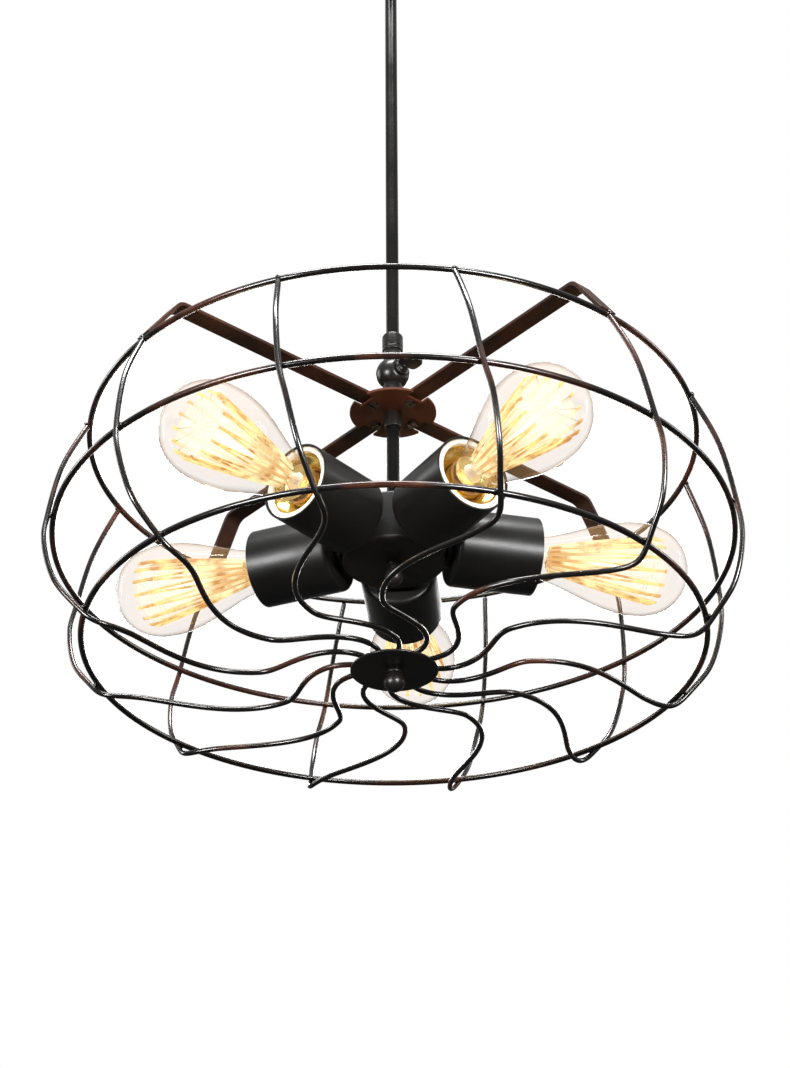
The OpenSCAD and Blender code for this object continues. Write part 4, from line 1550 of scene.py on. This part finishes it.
# --- basket ---
@dataclass
class Basket:
    """Three rings, twelve ribs that end in an S under the floor, their welds, the disc and its ball."""

    body: str = "cage"
    ribs: int = 12
    first: float = 15.0
    wire: float = 1.8 * MM
    bead: float = 2.1 * MM
    seat: float = 0.2 * MM
    bow: float = 5 * MM
    side_turn: float = 8.0
    loop_turn: float = -15.0
    end_turn: float = 26.0
    loop_radius: float = 88 * MM
    inset: float = 3.6 * MM
    spacing: float = 1.6 * MM
    rolls: int = 45
    roll_reach: int = 16
    ball_lift: float = 1.5 * MM
    ball_swell: float = 2.34

    def __post_init__(self) -> None:
        """Reads the rings and the disc."""
        self.top, self.middle, self.low = (RingLine.of(n) for n in ("top_ring", "middle_ring", "bottom_ring"))
        self.disc_low, self.disc_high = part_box("bottom_disc")
        self.floor = self.disc_high.z + self.wire + self.seat

    def rings(self) -> None:
        """Bends the three rings of round wire."""
        for node, line in (("top_ring", self.top), ("middle_ring", self.middle), ("bottom_ring", self.low)):
            section = [(line.radius + line.wire * math.cos(a), line.height + line.wire * math.sin(a))
                       for a in (math.tau * k / 16 for k in range(16))]
            Piece(node + "_wire", Finish.WIRE, self.body, "black_wire", [node]).make(
            Turned(section, 224, True), smooth=80)

    def stations(self) -> list[Point]:
        """Radius and height of the rib at its stations.

        Returns:
            The stations, with one extra at each end to steer the curve.
        """
        top, mid, low, b, floor = self.top, self.middle, self.low, self.bow, self.floor
        off = top.wire + self.wire + self.seat
        return [(top.radius - 3 * MM, top.height + 6 * MM), (top.radius + off * 0.45, top.height - top.wire * 1.1),
                (mix(top.radius, mid.radius, 0.5) + off + b / 2, mix(top.height, mid.height, 0.48)),
                (mid.radius + off, mid.height), (mid.radius + off + b * 0.2, mix(mid.height, low.height, 0.33)),
                (mix(mid.radius, low.radius, 0.5) + off + b, mix(mid.height, low.height, 0.72)),
                (low.radius + off + 1.2 * MM, low.height), (low.radius - 5 * MM, floor - 0.5 * MM),
                (low.radius - 18 * MM, floor)]

    def floor_turn(self, radius: float, start: float, end: float) -> float:
        """Turn of the floor run at a radius: two eased legs of an S.

        Args:
            radius: Distance from the axis.
            start: Where the floor run starts.
            end: Where it ends.

        Returns:
            The turn in degrees.
        """
        if radius > self.loop_radius:
            return mix(self.side_turn, self.loop_turn, ease((start - radius) / (start - self.loop_radius)))
        return mix(self.loop_turn, self.end_turn, ease((self.loop_radius - radius) / (self.loop_radius - end)))

    def course(self) -> list[Vector]:
        """Points along one rib.

        Returns:
            The points, from the top ring to the disc.
        """
        marks = [Vector(p) for p in self.stations()]
        spans, steps, run, path = len(marks) - 3, 9, 84, []
        for k in range(1, spans + 1):
            a, b, c, d = marks[k - 1:k + 3]
            for t in (j / steps for j in range(steps)):
                bend, turn = 2 * a - 5 * b + 4 * c - d, 3 * b - a - 3 * c + d
                p = 0.5 * (2 * b + (c - a) * t + bend * t * t + turn * t ** 3)
                path.append(polar(p.x, self.side_turn * (k - 1 + t) / spans, p.y))
        (start, corner), end = marks[-2], self.disc_high.x - self.inset
        for j in range(run + 1):
            r = mix(start, end, j / run)
            path.append(polar(r, self.floor_turn(r, start, end), mix(corner, self.floor, min(1.0, 11 * j / run))))
        return self.eased(even(path, self.spacing), corner)

    def eased(self, path: list[Vector], corner: float) -> list[Vector]:
        """Rounds the bend between side and floor as a bending roll would.

        Args:
            path: Evenly spaced points.
            corner: Height of the floor at the bend.

        Returns:
            The rounded course.
        """
        bend = next(k for k, p in enumerate(path) if p.z < corner + 0.5 * MM)
        for _ in range(self.rolls):
            path = [p if abs(k - bend) > self.roll_reach or k in (0, len(path) - 1)
                    else p * 0.5 + (path[k - 1] + path[k + 1]) * 0.25 for k, p in enumerate(path)]
        return path

    def cage(self) -> None:
        """Bends one rib and repeats it round the basket."""
        nodes = ["ribs_" + side for side in ("front", "right", "back", "left")]
        Piece("basket_ribs", Finish.WIRE, self.body, "black_wire", nodes).grow(
            wire_tree(), line_mesh("rib", self.course()), Count=self.ribs, First=math.radians(self.first),
            Wire_radius=self.wire, Sides=14)

    def welds(self) -> None:
        """Sets a bead where each rib crosses a ring and where it meets the disc."""
        spots = [polar(line.radius + line.wire, self.side_turn * station / 6, line.height)
                 for line, station in ((self.top, 0), (self.middle, 2), (self.low, 5))]
        spots.append(polar(self.disc_high.x - self.inset - 0.5 * MM, self.end_turn, self.disc_high.z + 0.8 * MM))
        Piece("basket_welds", Finish.WIRE, self.body, "black_wire").grow(
            weld_tree(), line_mesh("weld_spots", spots, joined=False), Count=self.ribs,
            First=math.radians(self.first), Bead_radius=self.bead, Seed=7)

    def disc(self) -> None:
        """Presses the disc that the ribs end on and turns its ball."""
        z, r, top = self.disc_low.z, self.disc_high.x, self.disc_high.z
        face = [(0, z), (r - 1.2 * MM, z), (r, z + 0.7 * MM), (r, top), (0, top)]
        Piece("basket_disc", Finish.TURNED, self.body, "black_coat", ["bottom_disc"]).make(
            Turned(rounded(face, 0.4 * MM), 96))
        low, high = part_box("bottom_finial")
        Piece("basket_ball", Finish.TURNED, self.body, "black_satin", ["bottom_finial"]).make(
            Turned(hung_ball(z, low.z + self.ball_lift, high.x * self.ball_swell), 48))

    def build(self) -> None:
        """Builds the basket."""
        self.rings()
        self.cage()
        self.welds()
        self.disc()


def main() -> None:
    """Builds the light from the ceiling down, then the room."""
    logging.basicConfig(level=logging.INFO, format="%(name)s: %(message)s")
    rod = Downrod().build()
    CeilingMount().build(rod)
    Knuckle().build()
    basket = Basket()
    HubPlate().build(basket.top)
    LampHub().build()
    for number in range(1, 6):
        Lamp(number).build()
    basket.build()
    Viewpoint().build(basket.middle.height)
    Studio().build(Vector((0, 0, basket.middle.height)))


if __name__ == "__main__":
    main()
